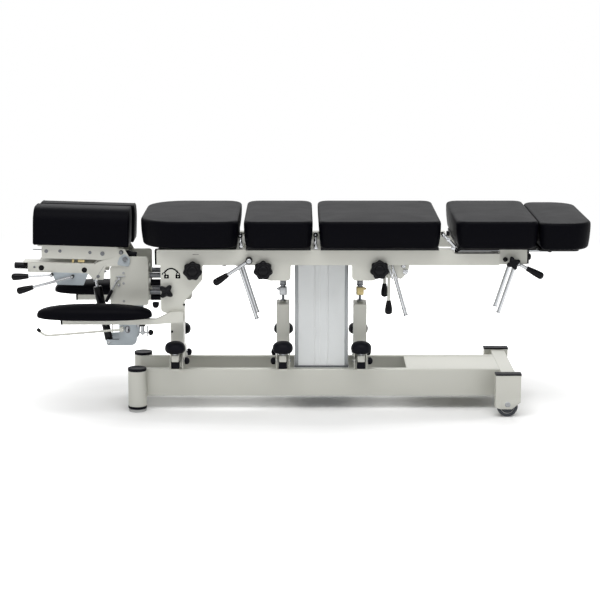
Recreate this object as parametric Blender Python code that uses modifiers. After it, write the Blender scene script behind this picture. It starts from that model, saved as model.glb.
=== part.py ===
"""Chiropractic drop table on a lifting column, in metres with +Z up.

X runs from the head end (-) to the foot end (+) and Y across the table. The near
side is at -Y. Stations along X are measured from a line on the floor, MIDDLE_X
from the middle of the table's outline, and the origin is moved to that middle.
The pieces of each moving body hang from an empty that lies on the joint's axis.
"""

import math

import bmesh
import bpy
from mathutils import Matrix, Vector

TABLE = "chiropractic_drop_table"
NEAR, FAR = -1, 1
SIDES = {"near": NEAR, "far": FAR}

# Clearances and overruns
SEAT = 0.0003        # between faces that rest on each other
RUN = 0.0004         # all round a pin or rod that turns or slides
OVERRUN = 0.006      # how far a cutter runs past a wall
ROOT = 0.003         # how far a welded piece runs into its neighbour

# Overall places
MIDDLE_X = -0.0055
SHEET = 0.004
THIN_SHEET = 0.003

# Base weldment
BEAM_OUT_Y = 0.120
BEAM_WIDE = 0.025
BEAM_LOW = 0.050
BEAM_TOP = 0.151
BEAM_ROUND = 0.004
FOOT_X = -0.590
FOOT_Y = 0.1365
FOOT_R = 0.0325
FOOT_LOW = 0.020
FOOT_TOP = 0.156
FOOT_CAP_R = 0.034
FOOT_CAP_THICK = 0.004
GLIDE_THICK = 0.010
GLIDE_R = 0.0330
GLIDE_NECK_R = 0.030
GLIDE_RING_LOW = 0.012
HEAD_TIE_WIDE = 0.050
FOOT_TIE_X = 0.7247
FOOT_TIE_WIDE = 0.050
FOOT_TIE_LOW = 0.062
COVER_X = 0.388
COVER_DROP = 0.0015

# Castor housings and wheels
HOUSING_LEAD = 0.0247
HOUSING_X = FOOT_TIE_X - HOUSING_LEAD
HOUSING_LONG = 0.090
HOUSING_IN_Y = 0.199
HOUSING_OUT_Y = 0.237
HOUSING_LOW = 0.030
HOUSING_TOP = 0.1535
HOUSING_ROOF = 0.020
HOUSING_CUT_LONG = 0.064
HOUSING_CUT_HIGH = 0.025
HOUSING_TOE_LONG = 0.019
HOUSING_TOE_HIGH = 0.006
HOUSING_CAP_THICK = 0.004
HOUSING_CAP_LIP = 0.001
WHEEL_SET_BACK = 0.044
WHEEL_X = HOUSING_X + WHEEL_SET_BACK
WHEEL_R = 0.0375
WHEEL_WIDE = 0.024
WHEEL_ROUND = 0.004
WHEEL_RIM_R = 0.027
WHEEL_DISH = 0.003
WHEEL_HUB_R = 0.010
AXLE_R = 0.004

# Side frames. RAIL_TOP is the only height from the floor here: every other height on the
# top frame, and on what it carries, is measured from the rails' upper face.
SIDE_OUT_Y = 0.220
RAIL_WIDE = 0.036
RAIL_TOP = 0.606
RAIL_HIGH = 0.055
RAIL_LOW = -RAIL_HIGH
RAIL_HEAD_X = -0.507
RAIL_FOOT_X = 0.706
RAIL_STEP_X = 0.545
RAIL_STEP_HIGH = 0.014
RAIL_INSET = 0.0010
GUSSET_OUT_Y = 0.2196
GUSSET_HEAD_X = -0.494
GUSSET_FOOT_X = -0.345
GUSSET_WAIST_X = -0.409
GUSSET_LEG_X = -0.456
GUSSET_LOW = -0.264
GUSSET_NECK_Z = -0.186
GUSSET_CHIN_Z = -0.221
GUSSET_CHEEK_Z = -0.106
LOBE_LOW = -0.111
LOBE_ROUND = 0.014
LUMBAR_LOBE = (-0.158, -0.033)
PELVIC_LOBE = (0.184, 0.315)
LOBE_FLAT = 0.075
LOBE_SLOPE = 0.031

# Lifting column
COLUMN_X = 0.078
COLUMN_WIDE = 0.194
COLUMN_DEEP = 0.176
COLUMN_LOW = 0.062
COLUMN_DROP = 0.061
COLUMN_TOP = RAIL_TOP - COLUMN_DROP
COLUMN_FLANGE_WIDE = 0.200
COLUMN_FLANGE_TOP = 0.1505
STRIP_WIDE = 0.013
STRIP_DEEP = 0.003
GROOVE_WIDE = 0.0025
GROOVE_DEEP = 0.002
GROOVE_SHARES = (-0.125, 0.125)
STAGE_WIDE = 0.157
STAGE_DEEP = 0.141
STAGE_LONG = 0.245
STAGE_CLEAR = 0.0015

# Pedal towers
TOWER_XS = {"chest": -0.449, "lumbar": -0.062, "pelvic": 0.220}
KNOB_SIDES = {"chest": 1, "lumbar": -1, "pelvic": 1}
TOWER_WIDE = 0.047
TOWER_DEEP = 0.100
TOWER_WALL = 0.0025
TOWER_DROP = 0.2305
TOWER_TOP = RAIL_TOP - TOWER_DROP
CHANNEL_HALF_X = 0.0245
CHANNEL_WALL = 0.004
CHANNEL_END_HIGH = 0.036
CHANNEL_MID_HIGH = 0.056
CHANNEL_MID_Y = 0.060
BUSH_R = 0.012
BUSH_HIGH = 0.006

# Foot pedals
PEDAL_Y = 0.075
PEDAL_Z = 0.171
PEDAL_PIN_R = 0.004
PEDAL_HALF_X = 0.0175
PEDAL_IN_Y = 0.012
PEDAL_OUT_Y = 0.180
PEDAL_UNDER = 0.005
PEDAL_OVER = 0.006
PEDAL_KNOB_R = 0.0135
PEDAL_KNOB_LONG = 0.017
PAD_Y = 0.170
PAD_LOW = 0.219
PAD_HIGH = 0.048
PAD_R = 0.0365
PAD_FOOT_R = 0.030
PAD_STEM_R = 0.013
PAD_DOME_SHARE = 0.55
PAD_RIM_SHARES = (0.97, 0.2)
PEDAL_KNOB_SHARES = ((0.6, 0.88), (0.92, 0.6), (1.0, 0.3))

# Cross pieces between the side frames
CROSS_LOW = -0.053
CROSS_TOP = -0.006
CROSS_WIDE = 0.040
HEAD_CROSS_X = -0.450
HEAD_CROSS_WIDE = 0.050
LUMBAR_CROSS_X = -0.225
PELVIC_CROSS_X = 0.330
SPINE_WIDE = 0.100
CROWN_PLATE_DEEP = 0.170
CROWN_PLATE_THICK = 0.008
SOCKET_X = -0.500
SOCKET_LONG = 0.095
SOCKET_WIDE = 0.030
SOCKET_LOW = -0.201

# Push rods over the towers
PUSH_ROD_R = 0.0055
PUSH_ROD_OVER_PEDAL = 0.019
PUSH_ROD_LOW = PEDAL_Z + PUSH_ROD_OVER_PEDAL - RAIL_TOP
CLAMP_OVER_TOWER = 0.0275
CLAMP_LOW = CLAMP_OVER_TOWER - TOWER_DROP
CLAMP_HIGH = 0.030
CLAMP_GAP = 0.006
CLAMP_WIDE = 0.030
CLAMP_PIN_R = 0.004
CLAMP_PIN_LONG = 0.024
CLAMP_PIN_DROP = 0.008
WASHER_LOW = CLAMP_LOW + CLAMP_HIGH + CLAMP_GAP
WASHER_R = 0.013
WASHER_THICK = 0.003
NUT_R = 0.011
NUT_HIGH = 0.013

# Knobs on the side of the frame
TENSION_KNOBS = {"chest": (-0.379, -0.072), "lumbar": (-0.130, -0.070), "pelvic": (0.281, -0.068)}
TENSION_R = 0.034
TENSION_STEM_R = 0.008
TENSION_STEM_LONG = 0.008
TENSION_THICK = 0.026
TENSION_LOBES = 7
TENSION_LOBE_SHARE = 0.07
TENSION_BOSS_R = 0.015
TENSION_BOSS_HIGH = 0.004
STAR_R = 0.0205
STAR_STEM_R = 0.005
STAR_STEM_LONG = 0.010
STAR_THICK = 0.018
STAR_BOSS_R = 0.008
STAR_LOBES = 4
STAR_LOBE_SHARE = 0.24
HEAD_STAR = (-0.473, -0.146)
FOOT_STAR = (0.752, -0.044)
FOOT_STAR_STEM_LONG = 0.033

# Hand levers with tapered grips
ROD_R = 0.0045
GRIP_NECK_R = 0.0085
GRIP_R = 0.0130
GRIP_LONG = 0.060
GRIP_TIP_SHARE = 0.58
LUMBAR_LEVER = ((-0.180, -0.0365), (-0.305, -0.119))
LUMBAR_LEVER_HUB_R = 0.0105
LUMBAR_LEVER_HUB_LONG = 0.030
FOOT_LEVER = ((0.772, -0.050), (0.8615, -0.098))
FOOT_LEVER_HUB_R = 0.009
FOOT_LEVER_HUB_LONG = 0.030
RELEASE_AT = (0.3175, -0.101)
RELEASE_Y = 0.165
RELEASE_SHAFT_R = 0.005
RELEASE_SHAFT_END = 0.008
RELEASE_DROP = 0.143
RELEASE_LUG_Y = 0.150

# Twin rod cocking levers
COCKING = {
    "chest": ((-0.222, -0.076), (-0.157, -0.281)),
    "pelvic": ((0.331, -0.076), (0.3855, -0.268)),
    "foot": ((0.781, -0.076), (0.722, -0.258)),
}
COCKING_Y = 0.060
COCKING_ROD_R = 0.007
COCKING_SHAFT_R = 0.006
COCKING_SHAFT_END = 0.010
COCKING_NUB_R = 0.0085
COCKING_NUB_LONG = 0.004
LUG_Y = 0.045
LUG_WIDE = 0.024
LUG_UNDER = 0.012

# Foot end slide
CARRIER_X = 0.7065
CARRIER_LONG = 0.0985
CARRIER_HALF_Y = 0.200
CARRIER_LOW = RAIL_LOW
CARRIER_TOP = -0.0005
CARRIER_CAP_THICK = 0.006
SLIDE_ROD_Y = 0.188
SLIDE_ROD_Z = -0.0075
SLIDE_ROD_R = 0.0045
SLIDE_HEAD_X = 0.549
SLIDE_FOOT_X = 0.892
SLIDE_LUG_LONG = 0.012
SLIDE_LUG_WIDE = 0.020
SLIDE_LUG_LOW = -0.0125

# Boards and cushions
BOARD_THICK = 0.0100
BOARD_HALF_Y = 0.235
CHEST_BOARD_HALF_Y = 0.205
BOARD_INSET = 0.007
CHEST_BOARD_X = -0.500
CUSHION_HALF_Y = 0.275
CUSHION_HIGH = 0.100
CUSHION_CROWN = 0.007
CUSHION_EDGE = 0.030
CUSHION_FOOT_EDGE = 0.012
CUSHION_DRAW = 0.006
CUSHION_ENDS = {
    "chest": (-0.566, -0.218),
    "lumbar": (-0.198, 0.045),
    "pelvic": (0.066, 0.496),
    "leg": (0.549, 0.837),
    "foot": (0.8405, 1.0290),
}
CHEST_END_R = 0.190
CHEST_END_SHARE = 0.80
LEG_BOARD_END = 0.985
LEG_BOARD_LOW = 0.0025

# Head carrier, on four tubes that slide in the frame's sockets
TILT_AT = (-0.630, -0.054)
HEAD_SLOPE = math.radians(1.7)
HEAD_PLATE_Y = 0.088
HEAD_PLATE_X = (-0.686, -0.548)
HEAD_PLATE_Z = (-0.225, -0.046)
HEAD_PLATE_ROUND = 0.010
HEAD_PLATE_NOTCH_X = -0.660
HEAD_PLATE_NOTCH_Z = -0.086
HEAD_BACK_X = -0.557
HEAD_BACK_LOW = -0.206
HEAD_BACK_TOP = -0.094
TUBE_R = 0.0095
TUBE_Y = 0.055
TUBE_ZS = (-0.183, -0.121)
TUBE_END_X = -0.412
LOWER_PLATE_Y = 0.060
LOWER_PLATE_X = (-0.660, -0.592)
LOWER_FOOT_X = -0.708
LOWER_FOOT_HIGH = 0.023
LOWER_CHAMFER_X = -0.6263
LOWER_CHAMFER_HIGH = 0.026
LOWER_HOLE_X = -0.628
LOWER_HOLE_SHARE = 0.3836
LOWER_HOLE_HALF_X = 0.009
LOWER_HOLE_HALF_Z = 0.014
TIE_PLATE_Z = -0.221
LOWER_OVER_BASE = 0.0734
LOWER_PLATE_Z = BEAM_TOP + LOWER_OVER_BASE - RAIL_TOP
LOWER_HIGH = TIE_PLATE_Z - LOWER_PLATE_Z
TILT_PIN_R = 0.006
TILT_PIN_END = 0.103

# Head beam, laid out level and then tilted by HEAD_SLOPE about TILT_AT
BEAM_PLATE_X = (-0.945, -0.742)
BEAM_TONGUE_X = -0.998
BEAM_TONGUE_WIDE = 0.058
BEAM_PLATE_Z = -0.078
BEAM_WALL_OUT_Y = 0.100
BEAM_WALL_XS = {NEAR: -0.980, FAR: -0.943}
BEAM_WALL_LOW = -0.111
GUSSET_DROP = 0.021
EYE_CHEEK_Y = 0.012
GUSSET_FOOT_LONG = 0.036
PIVOT_LUG = 0.015
PIVOT_DROP = 0.030
PIVOT_HEEL = 0.0255
PIVOT_TOE = 0.0225
PIVOT_REACH = 0.0375
DECK_PIN_AT = (-0.6444, -0.0294)
DECK_PIN_R = 0.004
TRAPEZOID_TOP_X = (-0.8947, -0.7613)
TRAPEZOID_FOOT_X = (-0.8737, -0.7784)
TRAPEZOID_LOW = -0.154
HEAD_LEVERS = {
    "head_tilt_lever": ((-0.8920, -0.117), (-1.0365, -0.1282)),
    "head_width_lever": ((-0.8173, -0.121), (-1.0170, -0.1806)),
}
HEAD_LEVER_HUB_R = 0.007
HEAD_LEVER_HUB_LONG = 0.026
CRANK_X = -1.027
CRANK_R = 0.0108
CRANK_Y = -0.075
CRANK_Z = -0.0925
CRANK_SHAFT_R = 0.004
CRANK_HANGER_X = -0.974

# Head deck and cushions
DECK_X = (-0.945, -0.660)
DECK_LOW = -0.016
DECK_THICK = 0.006
DECK_FLANGE_X = (-0.931, -0.675)
DECK_FLANGE_LOW = -0.060
DECK_FLANGE_Y = 0.0925
DECK_EAR_HIGH = 0.018
HEAD_CUSHION_X = (-0.958, -0.612)
HEAD_CUSHION_HIGH = 0.136
HEAD_CUSHION_WIDE = 0.1145
HEAD_SPLIT = 0.0035
HEAD_CUSHION_EDGE = 0.036
HEAD_CUSHION_CROWN = 0.004

# Gas strut under the head beam
STRUT_Y = -0.035
STRUT_FOOT = (-0.6990, LOWER_PLATE_Z + LOWER_FOOT_HIGH / 2)
STRUT_EYE = (-0.7440, -0.139)
STRUT_R = 0.0145
STRUT_LONG_SHARE = 0.6375
STRUT_FOOT_GAP = 0.006
STRUT_ROD_R = 0.005
STRUT_BORE_SHARE = 0.733
STRUT_INSERTED_SHARE = 0.40
STRUT_EYE_R = 0.008
STRUT_EYE_HALF = 0.005
STRUT_PIN_R = 0.004

# Bent release bar
BENT_X = -0.650
BENT_HEIGHT_SHARES = (0.396, 0.2572, 0.3836)
BENT_Y = -0.079
BENT_R = 0.0035
BENT_HUB_R = 0.009
BENT_CORNER_X = -0.9285
BENT_TIP_X = -0.9499
BENT_GRIP_R = 0.0065
BENT_GRIP_LONG = 0.016

# Armrests
ARM_AT = (-0.434, -0.239)
ARM_WIDE = 0.020
ARM_HUB_R = 0.020
ARM_PIN_R = 0.006
ARM_END_X = -0.843
ARM_TOP = -0.246
ARM_LOW = -0.266
ARM_KNEE_X = -0.530
ARM_SHOULDER = (-0.458, -0.221)
ARM_HEEL = (-0.462, -0.261)
ARM_PAD_X = (-0.931, -0.524)
ARM_PAD_Y = 0.245
ARM_PAD_HALF_Y = 0.060
ARM_PAD_HIGH = 0.054
ARM_PAD_EDGE = 0.015
ARM_PAD_CROWN = 0.006
ARM_PAD_END_SHARE = 0.45

# Counts
ROUND_STEPS = 16
SMALL_STEPS = 10
CORNER_STEPS = 3
CROWN_STEPS = 4
STRAIGHT = math.radians(89)

parts = bpy.data.collections.new(TABLE)
helpers = bpy.data.collections.new("cutters_and_joined_shapes")
places = {}

COLOURS = {
    "powder_coat": ((0.55, 0.55, 0.50), 0.45, 0.0),
    "blue_grey_coat": ((0.42, 0.46, 0.48), 0.45, 0.2),
    "black_plastic": ((0.012, 0.012, 0.014), 0.30, 0.0),
    "black_vinyl": ((0.010, 0.010, 0.016), 0.42, 0.0),
    "black_rubber": ((0.015, 0.015, 0.020), 0.60, 0.0),
    "chrome": ((0.75, 0.75, 0.76), 0.12, 1.0),
    "zinc": ((0.50, 0.50, 0.50), 0.35, 1.0),
    "aluminium": ((0.70, 0.71, 0.72), 0.35, 0.8),
}


def clear_scene():
    for obj in list(bpy.data.objects):
        bpy.data.objects.remove(obj, do_unlink=True)
    for collection in (parts, helpers):
        bpy.context.scene.collection.children.link(collection)


def finish_material(piece, kind):
    """A piece's own material, in the colour, roughness and metallic value of its kind."""
    colour, roughness, metallic = COLOURS[kind]
    material = bpy.data.materials.new(piece + "_" + kind)
    material.use_nodes = True
    shader = material.node_tree.nodes["Principled BSDF"]
    shader.inputs["Base Color"].default_value = (*colour, 1.0)
    shader.inputs["Roughness"].default_value = roughness
    shader.inputs["Metallic"].default_value = metallic
    return material


# Shapes: each returns an object in station coordinates, in no collection yet


def from_bmesh(form, name):
    mesh = bpy.data.meshes.new(name)
    form.to_mesh(mesh)
    form.free()
    return bpy.data.objects.new(name, mesh)


def box(name, x, y, z, round_by=0.0):
    """A box between two places on each axis, with its edges bevelled by round_by."""
    form = bmesh.new()
    size = [abs(high - low) for low, high in (x, y, z)]
    middle = [(high + low) / 2 for low, high in (x, y, z)]
    bmesh.ops.create_cube(form, matrix=Matrix.Translation(middle) @ Matrix.Diagonal((*size, 1)))
    obj = from_bmesh(form, name)
    if round_by:
        bevel = obj.modifiers.new("rounded edges", "BEVEL")
        bevel.width = round_by
        bevel.segments = 2
    return obj


def mirrored(side, low, high):
    """The Y places of a piece between low and high from the middle plane, on one side."""
    return (low * side, high * side) if side > 0 else (high * side, low * side)


def cylinder(name, start, end, radius, steps=SMALL_STEPS, end_radius=None):
    """A round bar, or a cone where end_radius differs, between two points."""
    start, end = Vector(start), Vector(end)
    along = end - start
    turn = along.to_track_quat("Z", "Y").to_matrix().to_4x4()
    form = bmesh.new()
    bmesh.ops.create_cone(
        form, cap_ends=True, segments=steps, depth=along.length,
        radius1=radius, radius2=radius if end_radius is None else end_radius,
        matrix=Matrix.Translation((start + end) / 2) @ turn,
    )
    return from_bmesh(form, name)


def turned(name, profile, place, axis, steps=ROUND_STEPS):
    """A profile of (radius, height) from top to bottom, turned round an axis through place."""
    mesh = bpy.data.meshes.new(name)
    mesh.from_pydata([(r, 0, h) for r, h in profile], [(i, i + 1) for i in range(len(profile) - 1)], [])
    obj = bpy.data.objects.new(name, mesh)
    obj.matrix_world = Matrix.Translation(place) @ Vector(axis).to_track_quat("Z", "Y").to_matrix().to_4x4()
    screw = obj.modifiers.new("turned", "SCREW")
    screw.steps = screw.render_steps = steps
    screw.use_merge_vertices = True
    screw.merge_threshold = 0.00005
    return obj


def as_mesh(obj):
    """The object with its modifiers or its curve made into a welded mesh."""
    bpy.context.scene.collection.objects.link(obj)
    bpy.context.view_layer.update()
    graph = bpy.context.evaluated_depsgraph_get()
    mesh = bpy.data.meshes.new_from_object(obj.evaluated_get(graph))
    made = bpy.data.objects.new(obj.name, mesh)
    made.matrix_world = obj.matrix_world.copy()
    name = obj.name
    bpy.data.objects.remove(obj, do_unlink=True)
    made.name = name
    form = bmesh.new()
    form.from_mesh(mesh)
    bmesh.ops.remove_doubles(form, verts=form.verts, dist=RUN / 40)
    bmesh.ops.recalc_face_normals(form, faces=form.faces)
    form.to_mesh(mesh)
    form.free()
    mesh.transform(made.matrix_world)
    made.matrix_world = Matrix.Identity(4)
    return made


LYING = {
    "Z": Matrix.Identity(4),
    "Y": Matrix(((1, 0, 0, 0), (0, 0, -1, 0), (0, 1, 0, 0), (0, 0, 0, 1))),
    "X": Matrix(((0, 0, 1, 0), (1, 0, 0, 0), (0, 1, 0, 0), (0, 0, 0, 1))),
}


def plate(name, outline, axis, low, high):
    """A flat outline square to an axis, as thick as from low to high along it."""
    curve = bpy.data.curves.new(name, "CURVE")
    curve.dimensions = "2D"
    curve.fill_mode = "BOTH"
    curve.extrude = abs(high - low) / 2
    spline = curve.splines.new("POLY")
    spline.points.add(len(outline) - 1)
    for point, (a, b) in zip(spline.points, outline):
        point.co = (a, b, 0, 1)
    spline.use_cyclic_u = True
    obj = bpy.data.objects.new(name, curve)
    shift = Vector([(low + high) / 2 if letter == axis else 0 for letter in "XYZ"])
    obj.matrix_world = Matrix.Translation(shift) @ LYING[axis]
    return as_mesh(obj)


def tube(name, points, radius, resolution=2):
    """A round bar along a polyline."""
    curve = bpy.data.curves.new(name, "CURVE")
    curve.dimensions = "3D"
    curve.bevel_depth = radius
    curve.bevel_resolution = resolution
    curve.use_fill_caps = True
    spline = curve.splines.new("POLY")
    spline.points.add(len(points) - 1)
    for point, place in zip(spline.points, points):
        point.co = (*place, 1)
    return as_mesh(bpy.data.objects.new(name, curve))


def rounded(corners, radius, steps=CORNER_STEPS):
    """An outline with its corners turned into arcs of at most this radius.

    A corner given with a third number uses that as its own radius.
    """
    outline = []
    count = len(corners)
    for index, corner in enumerate(corners):
        here = Vector(corner[:2])
        before = Vector(corners[index - 1][:2]) - here
        after = Vector(corners[(index + 1) % count][:2]) - here
        own = corner[2] if len(corner) > 2 else radius
        half_angle = before.angle(after) / 2
        if half_angle > STRAIGHT or not own:
            outline.append(tuple(here))
            continue
        cut = min(own / math.tan(half_angle), 0.48 * before.length, 0.48 * after.length)
        reach = cut / math.cos(half_angle)
        centre = here + (before.normalized() + after.normalized()).normalized() * reach
        start = here + before.normalized() * cut - centre
        sweep = start.angle_signed(here + after.normalized() * cut - centre)
        for step in range(steps + 1):
            turn = Matrix.Rotation(-sweep * step / steps, 2)
            outline.append(tuple(round(value, 6) for value in centre + turn @ start))
    return outline


def lobed_outline(centre, radius, lobes, share, points_per_lobe=6):
    """A hand knob's outline: a circle whose radius dips between lobes by twice the share."""
    count = lobes * points_per_lobe
    outline = []
    for index in range(count):
        angle = 2 * math.pi * index / count
        reach = radius * (1 - share + share * math.cos(lobes * angle))
        outline.append((centre[0] + reach * math.sin(angle), centre[1] + reach * math.cos(angle)))
    return outline


def cushion(name, x, y, z, edge, foot_edge, crown, draw, cells=(3, 3), end_shape=None):
    """A soft block from a coarse cage: crowned top, sides drawn in at the foot, round edges.

    The cage has a row of points one edge radius in from each face, so that the
    subdivided surface turns over within that radius. end_shape gives the share
    of the half width that is left at each place along X.
    """
    def rows(low, high, near_edge, far_edge, count):
        inner = [low + near_edge + (high - near_edge - low - far_edge) * i / count for i in range(count + 1)]
        return [low] + inner + [high]

    xs = rows(*x, edge, edge, cells[0])
    ys = rows(*y, edge, edge, cells[1])
    zs = rows(*z, foot_edge, edge, 1)
    form = bmesh.new()
    bmesh.ops.create_cube(form, size=2)
    for axis, stations in enumerate((xs, ys, zs)):
        normal = Vector([1 if i == axis else 0 for i in range(3)])
        for index in range(1, len(stations) - 1):
            share = index / (len(stations) - 1)
            geometry = form.verts[:] + form.edges[:] + form.faces[:]
            bmesh.ops.bisect_plane(form, geom=geometry, plane_co=normal * (2 * share - 1), plane_no=normal, dist=1e-6)
    middle_y, half_y = (y[0] + y[1]) / 2, (y[1] - y[0]) / 2
    for vertex in form.verts:
        place = [
            stations[round((vertex.co[axis] + 1) / 2 * (len(stations) - 1))]
            for axis, stations in enumerate((xs, ys, zs))
        ]
        u = 2 * (place[0] - x[0]) / (x[1] - x[0]) - 1
        v = (place[1] - middle_y) / half_y
        w = (place[2] - z[0]) / (z[1] - z[0])
        inset = draw * (1 - w) ** 2
        place[0] -= u * inset
        place[1] -= v * inset
        if w > 0.99:
            place[2] -= crown * (1 - (1 - u ** 4) * (1 - v ** 4))
        if end_shape:
            place[1] = middle_y + (place[1] - middle_y) * end_shape(place[0])
        vertex.co = place
    obj = from_bmesh(form, name)
    soft = obj.modifiers.new("soft form", "SUBSURF")
    soft.levels = soft.render_levels = 1
    return obj


# Joining, cutting and placing


def boolean(target, other, operation):
    if other.modifiers or other.type != "MESH":
        other = as_mesh(other)
    other.name = target.name + "_" + operation.lower() + "_" + str(len(target.modifiers))
    helpers.objects.link(other)
    other.parent = target
    other.hide_render = True
    other.display_type = "WIRE"
    modifier = target.modifiers.new(other.name, "BOOLEAN")
    modifier.operation = operation
    modifier.object = other


def join(target, *others):
    for other in others:
        boolean(target, other, "UNION")
    return target


def cut(target, *others):
    for other in others:
        boolean(target, other, "DIFFERENCE")
    return target


def body(name, at, parent=None, slope=0.0, rise=0.0):
    """An empty on a joint's axis, which carries the pieces of one moving body.

    The body's own heights are measured from a level that lies this rise over its parent's.
    """
    empty = bpy.data.objects.new(name + "_axis", None)
    parts.objects.link(empty)
    empty.empty_display_size = RAIL_WIDE
    places[empty.name] = Vector(at)
    empty.parent = parent
    empty.location = Vector(at) - (places[parent.name] if parent else Vector())
    empty.location.z += rise
    empty.rotation_euler = (0, slope, 0)
    return empty


def place(obj, kind, carrier):
    """Hangs a finished piece from its body, with its origin on that body's axis."""
    origin = places[carrier.name]
    parts.objects.link(obj)
    obj.data.transform(Matrix.Translation(-origin) @ obj.matrix_world)
    obj.matrix_world = Matrix.Identity(4)
    for child in obj.children:
        child.matrix_local = Matrix.Translation(-origin) @ child.matrix_local
    obj.parent = carrier
    obj.data.materials.clear()
    obj.data.materials.append(finish_material(obj.name, kind))
    obj.data.shade_smooth()
    obj.data.set_sharp_from_angle(angle=math.radians(30))
    return obj


def plain(obj):
    """The piece with its own modifiers made real, ready to be joined or cut."""
    return as_mesh(obj)


# Base


def base_beam(label, side, base):
    beam = plain(box(
        "base_beam_" + label, (FOOT_X, FOOT_TIE_X - SEAT),
        mirrored(side, BEAM_OUT_Y - BEAM_WIDE, BEAM_OUT_Y), (BEAM_LOW, BEAM_TOP), BEAM_ROUND,
    ))
    foot = (FOOT_X, side * FOOT_Y)
    join(beam, cylinder("column", (*foot, FOOT_LOW), (*foot, FOOT_TOP), FOOT_R, ROUND_STEPS))
    cap_low = FOOT_TOP - ROOT
    join(beam, cylinder("cap", (*foot, cap_low), (*foot, FOOT_TOP + FOOT_CAP_THICK), FOOT_CAP_R, ROUND_STEPS))
    if side == FAR:
        tie_end = BEAM_OUT_Y - BEAM_WIDE
        tie_x = (FOOT_X - HEAD_TIE_WIDE / 2, FOOT_X + HEAD_TIE_WIDE / 2)
        low, high = BEAM_LOW + BEAM_ROUND, BEAM_TOP - BEAM_ROUND
        join(beam, box("tie", tie_x, (-tie_end + SEAT, FOOT_Y), (low, high)))
    place(beam, "powder_coat", base)
    profile = [
        (0, FOOT_LOW - SEAT), (FOOT_CAP_R, FOOT_LOW - SEAT), (FOOT_CAP_R, GLIDE_RING_LOW),
        (GLIDE_NECK_R, GLIDE_RING_LOW), (GLIDE_R, GLIDE_THICK), (GLIDE_R, 0), (0, 0),
    ]
    glide = as_mesh(turned("foot_glide_" + label, profile, (*foot, 0), (0, 0, 1)))
    place(glide, "black_rubber", base)


def wheel_frame(base):
    """The foot end tie with its two castor housings and the cover plate between the beams."""
    tie = box(
        "wheel_frame", (FOOT_TIE_X, FOOT_TIE_X + FOOT_TIE_WIDE),
        (-HOUSING_IN_Y - ROOT, HOUSING_IN_Y + ROOT), (FOOT_TIE_LOW, BEAM_TOP),
    )
    cover_y = BEAM_OUT_Y - BEAM_WIDE - SEAT
    cover_top = BEAM_TOP - COVER_DROP
    join(tie, box("cover", (COVER_X, FOOT_TIE_X + ROOT), (-cover_y, cover_y), (cover_top - THIN_SHEET, cover_top)))
    foot_x = HOUSING_X + HOUSING_LONG
    for label, side in SIDES.items():
        outline = [
            (HOUSING_X, HOUSING_LOW + HOUSING_TOE_HIGH), (HOUSING_X + HOUSING_TOE_LONG, HOUSING_LOW),
            (foot_x - HOUSING_CUT_LONG, HOUSING_LOW),
            (foot_x, HOUSING_LOW + HOUSING_CUT_HIGH), (foot_x, HOUSING_TOP), (HOUSING_X, HOUSING_TOP),
        ]
        shell = plate("housing", outline, "Y", *mirrored(side, HOUSING_IN_Y, HOUSING_OUT_Y))
        hollow = box(
            "hollow", (HOUSING_X + SHEET, foot_x - SHEET),
            mirrored(side, HOUSING_IN_Y + SHEET, HOUSING_OUT_Y - SHEET),
            (HOUSING_LOW - OVERRUN, HOUSING_TOP - HOUSING_ROOF),
        )
        cap = box(
            "cap", (HOUSING_X - HOUSING_CAP_LIP, foot_x + HOUSING_CAP_LIP),
            mirrored(side, HOUSING_IN_Y - HOUSING_CAP_LIP, HOUSING_OUT_Y + HOUSING_CAP_LIP),
            (HOUSING_TOP - ROOT, HOUSING_TOP + HOUSING_CAP_THICK),
        )
        axle_ends = [
            (WHEEL_X, y, WHEEL_R)
            for y in mirrored(side, HOUSING_IN_Y + ROOT, HOUSING_OUT_Y + AXLE_R / 2)
        ]
        join(tie, shell)
        cut(tie, hollow)
        join(tie, cap, cylinder("axle", *axle_ends, AXLE_R))
    place(tie, "powder_coat", base)


def wheel(label, side, base):
    """A castor wheel: tread with rounded shoulders, dished sides and a bored hub."""
    carrier = body("wheel_" + label, (WHEEL_X, side * (HOUSING_IN_Y + HOUSING_OUT_Y) / 2, WHEEL_R), base)
    half = WHEEL_WIDE / 2
    bore = AXLE_R + RUN
    outer = [
        (bore, half), (WHEEL_HUB_R, half), (WHEEL_HUB_R, half - WHEEL_DISH),
        (WHEEL_RIM_R - WHEEL_DISH, half - WHEEL_DISH), (WHEEL_RIM_R, half),
        (WHEEL_R - WHEEL_ROUND, half), (WHEEL_R, half - WHEEL_ROUND),
    ]
    profile = outer + [(r, -h) for r, h in reversed(outer)] + outer[:1]
    tread = as_mesh(turned("castor_wheel_" + label, profile, places[carrier.name], (0, 1, 0), ROUND_STEPS + 8))
    place(tread, "black_rubber", carrier)


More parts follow.
